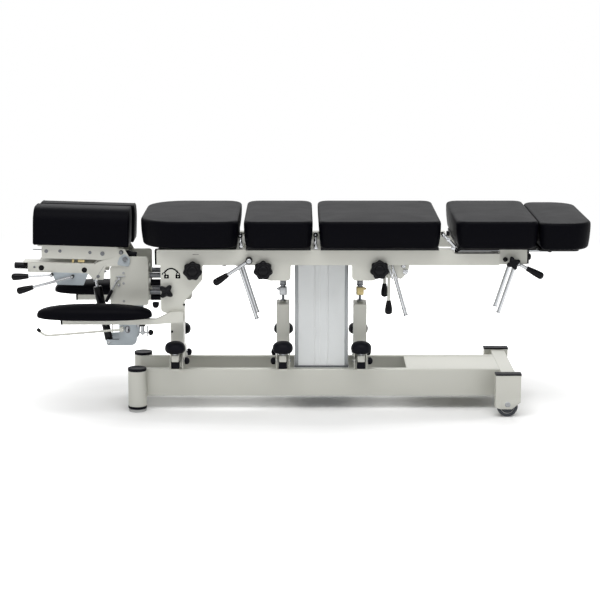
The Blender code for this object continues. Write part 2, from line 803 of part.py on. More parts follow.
def lift_column(base):
    half_x, half_y = COLUMN_WIDE / 2, COLUMN_DEEP / 2
    column = box(
        "lift_column_outer", (COLUMN_X - half_x, COLUMN_X + half_x), (-half_y, half_y), (COLUMN_LOW, COLUMN_TOP),
    )
    flange_y = BEAM_OUT_Y - BEAM_WIDE - SEAT
    flange_x = (COLUMN_X - COLUMN_FLANGE_WIDE / 2, COLUMN_X + COLUMN_FLANGE_WIDE / 2)
    flange_z = (COLUMN_LOW - SHEET, COLUMN_FLANGE_TOP)
    tall = (COLUMN_FLANGE_TOP - ROOT, COLUMN_TOP + OVERRUN)
    for side in (NEAR, FAR):
        face = mirrored(side, half_y - STRIP_DEEP, half_y + OVERRUN)
        for end in (-1, 1):
            edge_x = COLUMN_X + end * half_x
            strip = sorted((edge_x - end * STRIP_WIDE, edge_x + end * OVERRUN))
            cut(column, box("strip", strip, face, tall))
        groove_face = mirrored(side, half_y - GROOVE_DEEP, half_y + OVERRUN)
        for share in GROOVE_SHARES:
            groove_x = COLUMN_X + share * COLUMN_WIDE
            cut(column, box("groove", (groove_x - GROOVE_WIDE / 2, groove_x + GROOVE_WIDE / 2), groove_face, tall))
    join(column, box("flange", flange_x, (-flange_y, flange_y), flange_z))
    bore_x = STAGE_WIDE / 2 + STAGE_CLEAR
    bore_y = STAGE_DEEP / 2 + STAGE_CLEAR
    through = (COLUMN_LOW - OVERRUN, COLUMN_TOP + OVERRUN)
    cut(column, box("bore", (COLUMN_X - bore_x, COLUMN_X + bore_x), (-bore_y, bore_y), through))
    place(column, "aluminium", base)


def pedal_tower(label, x, base):
    """A box post on a cross channel that stands on both beams, with the pedals' pivot bores."""
    half_x, half_y = TOWER_WIDE / 2, TOWER_DEEP / 2
    channel_low = BEAM_TOP + SEAT
    mid_high = channel_low + CHANNEL_MID_HIGH
    tower = box("pedal_tower_" + label, (x - half_x, x + half_x), (-half_y, half_y), (mid_high - OVERRUN, TOWER_TOP))
    outline = [
        (-BEAM_OUT_Y, channel_low), (BEAM_OUT_Y, channel_low), (BEAM_OUT_Y, channel_low + CHANNEL_END_HIGH),
        (CHANNEL_MID_Y, mid_high), (-CHANNEL_MID_Y, mid_high), (-BEAM_OUT_Y, channel_low + CHANNEL_END_HIGH),
    ]
    inner = CHANNEL_HALF_X - CHANNEL_WALL
    join(tower, plate("channel", outline, "X", x - CHANNEL_HALF_X, x + CHANNEL_HALF_X))
    cut(tower, box("channel_hollow", (x - inner, x + inner), (-BEAM_OUT_Y - OVERRUN, BEAM_OUT_Y + OVERRUN),
                   (channel_low - OVERRUN, mid_high - CHANNEL_WALL / 2)))
    hollow_x = (x - half_x + TOWER_WALL, x + half_x - TOWER_WALL)
    hollow_y = (-half_y + TOWER_WALL, half_y - TOWER_WALL)
    cut(tower, box("post_hollow", hollow_x, hollow_y, (channel_low + CHANNEL_END_HIGH, TOWER_TOP - THIN_SHEET)))
    join(tower, cylinder("bush", (x, 0, TOWER_TOP - ROOT / 2), (x, 0, TOWER_TOP + BUSH_HIGH), BUSH_R))
    bore_r = PUSH_ROD_R + RUN
    cut(tower, cylinder("bore", (x, 0, TOWER_TOP - OVERRUN), (x, 0, TOWER_TOP + BUSH_HIGH + OVERRUN), bore_r))
    for side in (NEAR, FAR):
        ends = [(x + end * (CHANNEL_HALF_X + OVERRUN), side * PEDAL_Y, PEDAL_Z) for end in (-1, 1)]
        cut(tower, cylinder("pivot_bore", *ends, PEDAL_PIN_R + RUN))
    place(tower, "powder_coat", base)


def pedal(section, label, side, x, base):
    """A lever on a cross pin, with a mushroom foot pad at its outer end."""
    carrier = body("pedal_" + section + "_" + label, (x, side * PEDAL_Y, PEDAL_Z), base)
    arm = box(
        "foot_pedal_" + section + "_" + label, (x - PEDAL_HALF_X, x + PEDAL_HALF_X),
        mirrored(side, PEDAL_IN_Y, PEDAL_OUT_Y), (PEDAL_Z - PEDAL_UNDER, PEDAL_Z + PEDAL_OVER),
    )
    way = KNOB_SIDES[section]
    pin_start = (x - way * (CHANNEL_HALF_X + PEDAL_PIN_R), side * PEDAL_Y, PEDAL_Z)
    knob_start = x + way * (CHANNEL_HALF_X + RUN)
    join(arm, cylinder("pin", pin_start, (knob_start + way * ROOT, side * PEDAL_Y, PEDAL_Z), PEDAL_PIN_R))
    dome = [(0, PEDAL_KNOB_LONG)]
    dome += [(PEDAL_KNOB_R * wide, PEDAL_KNOB_LONG * high) for wide, high in PEDAL_KNOB_SHARES]
    dome += [(PEDAL_KNOB_R, 0), (0, 0)]
    join(arm, as_mesh(turned("knob", dome, (knob_start, side * PEDAL_Y, PEDAL_Z), (way, 0, 0), SMALL_STEPS)))
    pad_at = (x, side * PAD_Y)
    join(arm, cylinder("stem", (*pad_at, PEDAL_Z), (*pad_at, PAD_LOW + ROOT), PAD_STEM_R))
    shoulder = PAD_HIGH * (1 - PAD_DOME_SHARE)
    crown = [(0, PAD_HIGH)]
    for step in range(1, CROWN_STEPS + 1):
        turn = math.pi / 2 * step / CROWN_STEPS
        crown.append((PAD_R * math.sin(turn), shoulder + PAD_HIGH * PAD_DOME_SHARE * math.cos(turn)))
    rim = (PAD_R * PAD_RIM_SHARES[0], PAD_HIGH * PAD_RIM_SHARES[1])
    pad = crown + [rim, (PAD_FOOT_R, 0), (0, 0)]
    join(arm, as_mesh(turned("pad", pad, (*pad_at, PAD_LOW), (0, 0, 1))))
    place(arm, "black_rubber", carrier)


# Top frame


def lobe_outline(head_x, foot_x, steep_foot):
    """A rounded tongue under the rail, upright at one end and sloped at the other."""
    shallow = LOBE_ROUND / 2
    edge = RAIL_LOW + RAIL_INSET
    upright, sloped = (foot_x, head_x) if steep_foot else (head_x, foot_x)
    way = 1 if steep_foot else -1
    corners = [
        (upright + way * LOBE_ROUND, edge + OVERRUN, 0), (upright + way * LOBE_ROUND, edge, 0),
        (upright, edge), (upright, LOBE_LOW), (upright - way * LOBE_FLAT, LOBE_LOW),
        (sloped + way * shallow, RAIL_LOW - LOBE_SLOPE), (sloped, edge),
        (sloped - way * LOBE_ROUND, edge, 0), (sloped - way * LOBE_ROUND, edge + OVERRUN, 0),
    ]
    return rounded(corners, LOBE_ROUND)


def gusset_outline():
    """The head end gusset: cheek, waist, and the leg that carries the armrest's pin."""
    edge = RAIL_LOW + RAIL_INSET
    corners = [
        (GUSSET_FOOT_X + LOBE_ROUND, edge + OVERRUN, 0), (GUSSET_FOOT_X + LOBE_ROUND, edge, 0),
        (GUSSET_FOOT_X, edge), (GUSSET_FOOT_X, GUSSET_CHEEK_Z), (GUSSET_WAIST_X, GUSSET_NECK_Z),
        (GUSSET_WAIST_X, GUSSET_LOW), (GUSSET_LEG_X, GUSSET_LOW), (GUSSET_LEG_X, GUSSET_CHIN_Z - LOBE_ROUND),
        (GUSSET_HEAD_X, GUSSET_CHIN_Z), (GUSSET_HEAD_X, edge + OVERRUN, 0),
    ]
    return rounded(corners, LOBE_ROUND)


def side_frame(label, side, top):
    """The rail tube with the gusset and two tongues welded just inside its outer face."""
    frame = plate("side_frame_" + label, rounded([
        (RAIL_HEAD_X, 0), (RAIL_STEP_X, 0), (RAIL_STEP_X, -RAIL_STEP_HIGH), (RAIL_FOOT_X, -RAIL_STEP_HIGH),
        (RAIL_FOOT_X, RAIL_LOW), (RAIL_HEAD_X, RAIL_LOW),
    ], SHEET), "Y", *mirrored(side, SIDE_OUT_Y - SHEET - RAIL_WIDE, SIDE_OUT_Y))
    for outline in (gusset_outline(), lobe_outline(*LUMBAR_LOBE, True), lobe_outline(*PELVIC_LOBE, False)):
        join(frame, plate("plate", outline, "Y", *mirrored(side, GUSSET_OUT_Y - SHEET, GUSSET_OUT_Y)))
    x, z = ARM_AT
    ends = [(x, y, z) for y in mirrored(side, SIDE_OUT_Y - OVERRUN, SIDE_OUT_Y + OVERRUN)]
    cut(frame, cylinder("arm_bore", *ends, ARM_PIN_R + RUN))
    place(frame, "powder_coat", top)


def between_frames():
    half = SIDE_OUT_Y - SHEET - RAIL_WIDE - SEAT
    return (-half, half)


def head_cross(top):
    """The head end cross tube with two cheeks, each bored for two of the head carrier's tubes."""
    x = (HEAD_CROSS_X - HEAD_CROSS_WIDE / 2, HEAD_CROSS_X + HEAD_CROSS_WIDE / 2)
    cross = box("frame_cross_head", x, between_frames(), (CROSS_LOW, CROSS_TOP))
    for side in (NEAR, FAR):
        cheek_y = mirrored(side, TUBE_Y - SOCKET_WIDE / 2, TUBE_Y + SOCKET_WIDE / 2)
        join(cross, box("cheek", (SOCKET_X, SOCKET_X + SOCKET_LONG), cheek_y, (SOCKET_LOW, CROSS_LOW + ROOT)))
        for z in TUBE_ZS:
            ends = [(along, side * TUBE_Y, z) for along in (SOCKET_X - OVERRUN, SOCKET_X + SOCKET_LONG + OVERRUN)]
            cut(cross, cylinder("socket", *ends, TUBE_R + RUN, ROUND_STEPS))
    place(cross, "powder_coat", top)


def lug_pair(target, at, lug_y, pin_r, root_z):
    """Two ears that hang from a cross piece and carry a cross shaft."""
    x, z = at
    for side in (NEAR, FAR):
        ear_y = mirrored(side, lug_y - THIN_SHEET / 2, lug_y + THIN_SHEET / 2)
        corners = [
            (x - LUG_WIDE / 2, z - LUG_UNDER), (x + LUG_WIDE / 2, z - LUG_UNDER),
            (x + LUG_WIDE / 2, root_z + ROOT), (x - LUG_WIDE / 2, root_z + ROOT),
        ]
        join(target, plate("ear", corners, "Y", *ear_y))
        cut(target, cylinder("ear_bore", (x, ear_y[0] - OVERRUN, z), (x, ear_y[1] + OVERRUN, z), pin_r + RUN))


def lift_subframe(top):
    """Spine, two cross tubes, the plate on the column's head and the sliding column stage."""
    spine_x = (LUMBAR_CROSS_X - CROSS_WIDE / 2, PELVIC_CROSS_X + CROSS_WIDE / 2)
    spine = box("lift_subframe", spine_x, (-SPINE_WIDE / 2, SPINE_WIDE / 2), (CROSS_LOW, CROSS_TOP))
    for x in (LUMBAR_CROSS_X, PELVIC_CROSS_X):
        ends = (x - CROSS_WIDE / 2 - RAIL_INSET, x + CROSS_WIDE / 2 + RAIL_INSET)
        join(spine, box("cross", ends, between_frames(), (CROSS_LOW + RAIL_INSET, CROSS_TOP - RAIL_INSET)))
    half_x = COLUMN_WIDE / 2
    plate_low = ROOT - COLUMN_DROP
    join(spine, box("head_plate", (COLUMN_X - half_x, COLUMN_X + half_x),
                    (-CROWN_PLATE_DEEP / 2, CROWN_PLATE_DEEP / 2), (plate_low, plate_low + CROWN_PLATE_THICK)))
    join(spine, box("stage", (COLUMN_X - STAGE_WIDE / 2, COLUMN_X + STAGE_WIDE / 2),
                    (-STAGE_DEEP / 2, STAGE_DEEP / 2), (-COLUMN_DROP - STAGE_LONG, plate_low + ROOT)))
    lug_pair(spine, COCKING["chest"][0], LUG_Y, COCKING_SHAFT_R, CROSS_LOW)
    lug_pair(spine, COCKING["pelvic"][0], LUG_Y, COCKING_SHAFT_R, CROSS_LOW)
    lug_pair(spine, RELEASE_AT, RELEASE_LUG_Y, RELEASE_SHAFT_R, CROSS_LOW)
    place(spine, "powder_coat", top)


def slide_carrier(top):
    """The foot end housing that guides the leg section's two slide rods."""
    foot_x = CARRIER_X + CARRIER_LONG
    block = box("foot_slide_housing", (CARRIER_X, foot_x), (-CARRIER_HALF_Y, CARRIER_HALF_Y), (CARRIER_LOW, CARRIER_TOP))
    inset = RAIL_INSET * 2
    join(block, box("end_cap", (foot_x - ROOT, foot_x + CARRIER_CAP_THICK),
                    (-CARRIER_HALF_Y + inset, CARRIER_HALF_Y - inset), (CARRIER_LOW + inset, CARRIER_TOP - inset)))
    for side in (NEAR, FAR):
        ends = [(x, side * SLIDE_ROD_Y, SLIDE_ROD_Z) for x in (CARRIER_X - OVERRUN, foot_x + CARRIER_CAP_THICK + OVERRUN)]
        cut(block, cylinder("slide_bore", *ends, SLIDE_ROD_R + RUN))
    lug_pair(block, COCKING["foot"][0], LUG_Y, COCKING_SHAFT_R, CARRIER_LOW)
    place(block, "powder_coat", top)


def push_rod(label, x, top):
    """The rod that reaches from the frame into a tower, with its clamp block, washer and nut."""
    rod = cylinder("push_rod_" + label, (x, 0, PUSH_ROD_LOW), (x, 0, CROSS_LOW - SEAT), PUSH_ROD_R)
    half = CLAMP_WIDE / 2
    join(rod, plain(box("clamp", (x - half, x + half), (-half, half), (CLAMP_LOW, CLAMP_LOW + CLAMP_HIGH), ROOT)))
    way = KNOB_SIDES[label]
    pin_z = CLAMP_LOW + CLAMP_HIGH - CLAMP_PIN_DROP
    join(rod, cylinder("pin", (x, 0, pin_z), (x + way * CLAMP_PIN_LONG, 0, pin_z), CLAMP_PIN_R))
    join(rod, cylinder("washer", (x, 0, WASHER_LOW), (x, 0, WASHER_LOW + WASHER_THICK), WASHER_R))
    nut_low = WASHER_LOW + WASHER_THICK / 2
    join(rod, cylinder("nut", (x, 0, nut_low), (x, 0, nut_low + NUT_HIGH), NUT_R, 6))
    place(rod, "zinc", top)


# Knobs and levers


def hand_knob(name, at, face_y, stem_r, stem_long, radius, thick, lobes, share, boss_r, boss_high, carrier_parent):
    """A lobed knob on a stem that stands out of a near side face."""
    x, z = at
    carrier = body(name, (x, face_y, z), carrier_parent)
    near_y = face_y - SEAT
    body_y = near_y - stem_long
    knob = plate(name, lobed_outline(at, radius, lobes, share), "Y", body_y - thick, body_y)
    join(knob, cylinder("stem", (x, near_y, z), (x, body_y - ROOT, z), stem_r))
    join(knob, cylinder("boss", (x, body_y - thick + ROOT, z), (x, body_y - thick - boss_high, z), boss_r,
                        ROUND_STEPS, boss_r - boss_high))
    place(knob, "black_plastic", carrier)


def grip_on(lever, start, end, long=GRIP_LONG, neck=GRIP_NECK_R, wide=GRIP_R):
    """Adds a grip that widens towards the lever's free end and closes in a rounded tip."""
    start, end = Vector(start), Vector(end)
    along = (end - start).normalized()
    heel = end - along * long
    tip = end - along * wide * GRIP_TIP_SHARE
    join(lever, cylinder("grip", heel, tip, neck, SMALL_STEPS, wide))
    join(lever, cylinder("grip_tip", tip - along * RUN * 3, end, wide, SMALL_STEPS, wide * GRIP_TIP_SHARE))


def hand_lever(name, ends, face_y, hub_r, hub_long, carrier_parent):
    """A rod lever on a hub that stands out of a near side face."""
    (x, z), (tip_x, tip_z) = ends
    carrier = body(name, (x, face_y, z), carrier_parent)
    near_y = face_y - SEAT
    rod_y = near_y - hub_long / 2
    lever = cylinder(name, (x, near_y, z), (x, near_y - hub_long, z), hub_r)
    start, end = (x, rod_y, z), (tip_x, rod_y, tip_z)
    shy = Vector(end) - (Vector(end) - Vector(start)).normalized() * GRIP_R
    join(lever, cylinder("rod", start, shy, ROD_R))
    grip_on(lever, start, end)
    place(lever, "black_plastic", carrier)


def release_levers(top):
    """Two hanging grips on one cross shaft, so that either side of the table releases the section."""
    x, z = RELEASE_AT
    carrier = body("release_levers", (x, 0, z), top)
    reach = RELEASE_Y + RELEASE_SHAFT_END
    lever = cylinder("pelvic_release_levers", (x, -reach, z), (x, reach, z), RELEASE_SHAFT_R)
    for side in (NEAR, FAR):
        start = (x, side * RELEASE_Y, z)
        end = (x, side * RELEASE_Y, z - RELEASE_DROP)
        join(lever, cylinder("rod", start, (x, side * RELEASE_Y, z - RELEASE_DROP + GRIP_R), ROD_R))
        grip_on(lever, start, end)
    place(lever, "black_plastic", carrier)


def cocking_lever(label, top):
    """Two chrome rods on a cross shaft, with a small collar at each free end."""
    (x, z), (tip_x, tip_z) = COCKING[label]
    carrier = body("cocking_lever_" + label, (x, 0, z), top)
    reach = COCKING_Y + COCKING_SHAFT_END
    lever = cylinder("cocking_lever_" + label, (x, -reach, z), (x, reach, z), COCKING_SHAFT_R)
    along = Vector((tip_x - x, 0, tip_z - z)).normalized()
    for side in (NEAR, FAR):
        start = Vector((x, side * COCKING_Y, z))
        end = Vector((tip_x, side * COCKING_Y, tip_z))
        join(lever, cylinder("rod", start - along * COCKING_ROD_R, end, COCKING_ROD_R))
        join(lever, cylinder("collar", end - along * COCKING_NUB_LONG / 2, end + along * COCKING_NUB_LONG / 2, COCKING_NUB_R))
    place(lever, "chrome", carrier)


# Cushioned sections


def board_z():
    return (SEAT, SEAT + BOARD_THICK)


def cushion_z():
    low = board_z()[1] + SEAT
    return (low, low + CUSHION_HIGH)


def chest_end(x):
    """The chest cushion's half width, as a share, over its rounded head end."""
    head_x = CUSHION_ENDS["chest"][0]
    into = max(0.0, min(CHEST_END_R, x - head_x))
    left = CHEST_END_R - into
    lost = CHEST_END_R - math.sqrt(CHEST_END_R ** 2 - left ** 2)
    return 1 - CHEST_END_SHARE * lost / CUSHION_HALF_Y


def section_cushion(label, carrier):
    head_x, foot_x = CUSHION_ENDS[label]
    obj = cushion(
        label + "_cushion", (head_x, foot_x), (-CUSHION_HALF_Y, CUSHION_HALF_Y), cushion_z(), CUSHION_EDGE,
        CUSHION_FOOT_EDGE, CUSHION_CROWN, CUSHION_DRAW,
        (4, 3) if label == "chest" else (2, 3), chest_end if label == "chest" else None,
    )
    place(obj, "black_vinyl", carrier)


def drop_section(label, hinge_end, top):
    """A board hinged at one end on the rails, with its cushion."""
    head_x, foot_x = CUSHION_ENDS[label]
    board_x = [head_x + BOARD_INSET, foot_x - BOARD_INSET]
    half_y = BOARD_HALF_Y
    if label == "chest":
        board_x[0] = CHEST_BOARD_X
        half_y = CHEST_BOARD_HALF_Y
    carrier = body(label + "_section", (board_x[hinge_end], 0, 0), top)
    board = box(label + "_board", board_x, (-half_y, half_y), board_z())
    place(board, "black_plastic", carrier)
    section_cushion(label, carrier)


def leg_section(top):
    """Leg and foot cushions on one board, which slides on two rods through the foot end housing."""
    carrier = body("leg_section", (SLIDE_HEAD_X, 0, SLIDE_ROD_Z), top)
    board_x = (CUSHION_ENDS["leg"][0] + BOARD_INSET, LEG_BOARD_END)
    board = box("leg_carriage", board_x, (-BOARD_HALF_Y, BOARD_HALF_Y), (LEG_BOARD_LOW, board_z()[1]))
    for side in (NEAR, FAR):
        lug_y = (side * SLIDE_ROD_Y - SLIDE_LUG_WIDE / 2, side * SLIDE_ROD_Y + SLIDE_LUG_WIDE / 2)
        for start in (SLIDE_HEAD_X, SLIDE_FOOT_X - SLIDE_LUG_LONG):
            join(board, box("lug", (start, start + SLIDE_LUG_LONG), lug_y, (SLIDE_LUG_LOW, LEG_BOARD_LOW + ROOT)))
        ends = [(x, side * SLIDE_ROD_Y, SLIDE_ROD_Z) for x in (SLIDE_HEAD_X + ROOT, SLIDE_FOOT_X - ROOT)]
        join(board, cylinder("slide_rod", *ends, SLIDE_ROD_R))
    place(board, "black_plastic", carrier)
    section_cushion("leg", carrier)
    section_cushion("foot", carrier)


# Head end


def head_carrier(top):
    """Two side plates on four slide tubes, with the lower bracket and the tilt pin."""
    x0, x1 = HEAD_PLATE_X
    z0, z1 = HEAD_PLATE_Z
    carrier = body("head_slide", (x1, 0, TUBE_ZS[1]), top)
    corners = [
        (x0, z0), (x1, z0), (x1, z1), (HEAD_PLATE_NOTCH_X, z1), (HEAD_PLATE_NOTCH_X, HEAD_PLATE_NOTCH_Z + SHEET * 3),
        (x0, HEAD_PLATE_NOTCH_Z),
    ]
    outline = rounded(corners, HEAD_PLATE_ROUND)
    back = box("head_carrier", (HEAD_BACK_X, HEAD_BACK_X + SHEET), (-HEAD_PLATE_Y - ROOT / 2, HEAD_PLATE_Y + ROOT / 2),
               (HEAD_BACK_LOW, HEAD_BACK_TOP))
    low_x0, low_x1 = LOWER_PLATE_X
    foot_top = LOWER_PLATE_Z + LOWER_FOOT_HIGH
    lower = rounded([
        (low_x0, TIE_PLATE_Z + ROOT), (low_x0, foot_top + ROOT), (LOWER_FOOT_X, foot_top), (LOWER_FOOT_X + ROOT, LOWER_PLATE_Z),
        (LOWER_CHAMFER_X, LOWER_PLATE_Z), (low_x1 - ROOT, LOWER_PLATE_Z + LOWER_CHAMFER_HIGH), (low_x1, TIE_PLATE_Z + ROOT),
    ], HEAD_PLATE_ROUND / 2)
    for side in (NEAR, FAR):
        join(back, plate("head_plate", outline, "Y", *mirrored(side, HEAD_PLATE_Y, HEAD_PLATE_Y + SHEET)))
        lower_y = mirrored(side, LOWER_PLATE_Y - THIN_SHEET, LOWER_PLATE_Y)
        join(back, plate("lower_plate", lower, "Y", *lower_y))
        hole_z = LOWER_PLATE_Z + LOWER_HIGH * LOWER_HOLE_SHARE
        hole = [
            (LOWER_HOLE_X + LOWER_HOLE_HALF_X * math.cos(2 * math.pi * i / SMALL_STEPS),
             hole_z + LOWER_HOLE_HALF_Z * math.sin(2 * math.pi * i / SMALL_STEPS))
            for i in range(SMALL_STEPS)
        ]
        cut(back, plate("oval", hole, "Y", lower_y[0] - OVERRUN, lower_y[1] + OVERRUN))
        for z in TUBE_ZS:
            start = (HEAD_BACK_X + SHEET / 2, side * TUBE_Y, z)
            join(back, cylinder("slide_tube", start, (TUBE_END_X, side * TUBE_Y, z), TUBE_R, ROUND_STEPS))
    tie_y = HEAD_PLATE_Y + ROOT / 2
    join(back, box("tie", (low_x0 - SHEET, low_x1 + SHEET), (-tie_y, tie_y), (TIE_PLATE_Z, TIE_PLATE_Z + SHEET)))
    x, z = TILT_AT
    join(back, cylinder("tilt_pin", (x, -TILT_PIN_END, z), (x, TILT_PIN_END, z), TILT_PIN_R))
    x, z = STRUT_FOOT
    pin_y = LOWER_PLATE_Y - ROOT / 2
    join(back, cylinder("strut_pin", (x, -pin_y, z), (x, pin_y, z), STRUT_PIN_R))
    place(back, "powder_coat", carrier)
    return carrier


def beam_wall_outline(head_x):
    """The head beam's side wall: channel, drop gusset, pivot lug and the deck's ear."""
    pivot_x, pivot_z = TILT_AT
    ear_x, ear_z = DECK_PIN_AT
    gusset_foot = BEAM_PLATE_X[1] + GUSSET_FOOT_LONG
    lug = PIVOT_LUG
    ear = DECK_PIN_R * 3
    corners = [
        (head_x, BEAM_PLATE_Z + ROOT / 2), (head_x, BEAM_WALL_LOW),
        (BEAM_PLATE_X[1] - GUSSET_DROP, BEAM_WALL_LOW), (BEAM_PLATE_X[1], BEAM_WALL_LOW - GUSSET_DROP),
        (gusset_foot, BEAM_WALL_LOW - GUSSET_DROP), (gusset_foot + ROOT * 2, pivot_z - PIVOT_DROP),
        (pivot_x - lug, pivot_z - PIVOT_HEEL), (pivot_x + lug, pivot_z - PIVOT_TOE), (pivot_x + lug, pivot_z + lug / 2),
        (ear_x + ear, ear_z + ear), (ear_x - ear, ear_z + ear), (pivot_x - PIVOT_REACH, pivot_z + lug / 4),
        (gusset_foot, pivot_z - lug / 3), (BEAM_PLATE_X[1], BEAM_PLATE_Z + ROOT / 2),
    ]
    return rounded(corners, BEAM_ROUND)


def head_beam(carrier):
    rest = body("head_tilt", (TILT_AT[0], 0, TILT_AT[1]), carrier, HEAD_SLOPE)
    top_y = BEAM_WALL_OUT_Y - ROOT / 2
    beam = box("head_beam", BEAM_PLATE_X, (-top_y, top_y), (BEAM_PLATE_Z, BEAM_PLATE_Z + SHEET))
    tongue_y = (-top_y + RAIL_INSET / 2, -top_y + BEAM_TONGUE_WIDE)
    tongue_x = (BEAM_TONGUE_X, BEAM_PLATE_X[0] + ROOT)
    join(beam, box("tongue", tongue_x, tongue_y, (BEAM_PLATE_Z + RUN, BEAM_PLATE_Z + SHEET - RUN)))
    wall_in = BEAM_WALL_OUT_Y - THIN_SHEET
    for side in (NEAR, FAR):
        join(beam, plate("wall", beam_wall_outline(BEAM_WALL_XS[side]), "Y", *mirrored(side, wall_in, BEAM_WALL_OUT_Y)))
        for (x, z), pin_r in ((TILT_AT, TILT_PIN_R), (DECK_PIN_AT, DECK_PIN_R)):
            ends = [(x, y, z) for y in mirrored(side, wall_in - RUN * 4, BEAM_WALL_OUT_Y + OVERRUN)]
            cut(beam, cylinder("pivot_bore", *ends, pin_r + RUN))
        eye_x, eye_z = STRUT_EYE
        cheek_y = (STRUT_Y + side * EYE_CHEEK_Y - THIN_SHEET / 2, STRUT_Y + side * EYE_CHEEK_Y + THIN_SHEET / 2)
        cheek = box("eye_cheek", (eye_x - EYE_CHEEK_Y, BEAM_PLATE_X[1] - RUN), cheek_y, (eye_z, BEAM_PLATE_Z + ROOT / 2))
        join(beam, cheek)
    top_z = BEAM_WALL_LOW + ROOT
    trapezoid = [
        (TRAPEZOID_TOP_X[0], top_z), (TRAPEZOID_FOOT_X[0], TRAPEZOID_LOW),
        (TRAPEZOID_FOOT_X[1], TRAPEZOID_LOW), (TRAPEZOID_TOP_X[1], top_z),
    ]
    join(beam, plate("lever_plate", rounded(trapezoid, BEAM_ROUND), "Y",
                     -BEAM_WALL_OUT_Y - THIN_SHEET / 2, -BEAM_WALL_OUT_Y + THIN_SHEET / 2))
    hanger_y = (CRANK_Y - CRANK_R, CRANK_Y + CRANK_R)
    hanger_x = (CRANK_HANGER_X, CRANK_HANGER_X + SHEET)
    join(beam, box("hanger", hanger_x, hanger_y, (CRANK_Z - CRANK_R, BEAM_PLATE_Z + ROOT / 2)))
    ends = [(x, CRANK_Y, CRANK_Z) for x in (hanger_x[0] - OVERRUN, hanger_x[1] + OVERRUN)]
    cut(beam, cylinder("hanger_bore", *ends, CRANK_SHAFT_R + RUN))
    place(beam, "powder_coat", rest)
    lever_face = -BEAM_WALL_OUT_Y - THIN_SHEET / 2
    for name, ends in HEAD_LEVERS.items():
        hand_lever(name, ends, lever_face, HEAD_LEVER_HUB_R, HEAD_LEVER_HUB_LONG, rest)
    crank_at = (CRANK_HANGER_X, CRANK_Y, CRANK_Z)
    crank_carrier = body("head_crank", crank_at, rest)
    grip_end = CRANK_HANGER_X - SEAT
    crank = cylinder("head_tension_grip", (CRANK_X, CRANK_Y, CRANK_Z), (grip_end, CRANK_Y, CRANK_Z),
                     CRANK_R, ROUND_STEPS)
    shaft_end = (CRANK_HANGER_X + SHEET + ROOT, CRANK_Y, CRANK_Z)
    join(crank, cylinder("shaft", (grip_end - ROOT, CRANK_Y, CRANK_Z), shaft_end, CRANK_SHAFT_R))
    place(crank, "black_plastic", crank_carrier)
    return rest


def head_deck(rest):
    """The drop deck under the head cushions, hinged at its foot end on the beam's ears."""
    x, z = DECK_PIN_AT
    drop = body("head_drop", (x, 0, z), rest)
    deck = box("head_deck", DECK_X, (-BEAM_WALL_OUT_Y, BEAM_WALL_OUT_Y), (DECK_LOW, DECK_LOW + DECK_THICK))
    ear = DECK_PIN_R * 2
    outline = rounded([
        (DECK_FLANGE_X[0], DECK_LOW + ROOT), (DECK_FLANGE_X[0], DECK_FLANGE_LOW), (DECK_FLANGE_X[1], DECK_FLANGE_LOW),
        (x - ear, z - ear), (x + ear, z - ear), (x + ear, z + ear), (DECK_X[1], DECK_LOW + ROOT),
    ], DECK_PIN_R)
    for side in (NEAR, FAR):
        join(deck, plate("flange", outline, "Y", *mirrored(side, DECK_FLANGE_Y, DECK_FLANGE_Y + THIN_SHEET)))
        pin_y = mirrored(side, DECK_FLANGE_Y + ROOT / 2, BEAM_WALL_OUT_Y + ROOT / 2)
        join(deck, cylinder("deck_pin", (x, pin_y[0], z), (x, pin_y[1], z), DECK_PIN_R))
    place(deck, "powder_coat", drop)
    low = DECK_LOW + DECK_THICK + SEAT
    for label, side in SIDES.items():
        half = body("head_cushion_" + label, (HEAD_CUSHION_X[0], side * HEAD_SPLIT, low), drop)
        pad = cushion(
            "head_cushion_" + label, HEAD_CUSHION_X,
            mirrored(side, HEAD_SPLIT, HEAD_SPLIT + HEAD_CUSHION_WIDE), (low, low + HEAD_CUSHION_HIGH),
            HEAD_CUSHION_EDGE, CUSHION_FOOT_EDGE, HEAD_CUSHION_CROWN, CUSHION_DRAW / 2, (2, 1),
        )
        place(pad, "black_vinyl", half)


def gas_strut(carrier):
    """Cylinder and rod between the lower bracket and the head beam."""
    foot = Vector((STRUT_FOOT[0], STRUT_Y, STRUT_FOOT[1]))
    eye = Vector((STRUT_EYE[0], STRUT_Y, STRUT_EYE[1]))
    along = (eye - foot).normalized()
    swing = body("strut_swing", foot, carrier)
    long = (eye - foot).length * STRUT_LONG_SHARE
    start = foot + along * STRUT_FOOT_GAP
    end = start + along * long
    barrel = cylinder("head_strut_cylinder", start, end, STRUT_R, ROUND_STEPS)
    across = Vector((0, STRUT_EYE_HALF, 0))
    join(barrel, cylinder("foot_eye", foot - across, foot + across, STRUT_EYE_R))
    pin_reach = Vector((0, STRUT_EYE_HALF + OVERRUN, 0))
    cut(barrel, cylinder("foot_bore", foot - pin_reach, foot + pin_reach, STRUT_PIN_R + RUN))
    cut(barrel, cylinder("barrel_bore", end - along * long * STRUT_BORE_SHARE, end + along * OVERRUN, STRUT_ROD_R + RUN))
    place(barrel, "black_plastic", swing)
    reach = body("strut_reach", eye, swing)
    rod = cylinder("head_strut_rod", end - along * long * STRUT_INSERTED_SHARE, eye, STRUT_ROD_R)
    join(rod, cylinder("eye", eye - across, eye + across, STRUT_EYE_R))
    place(rod, "chrome", reach)


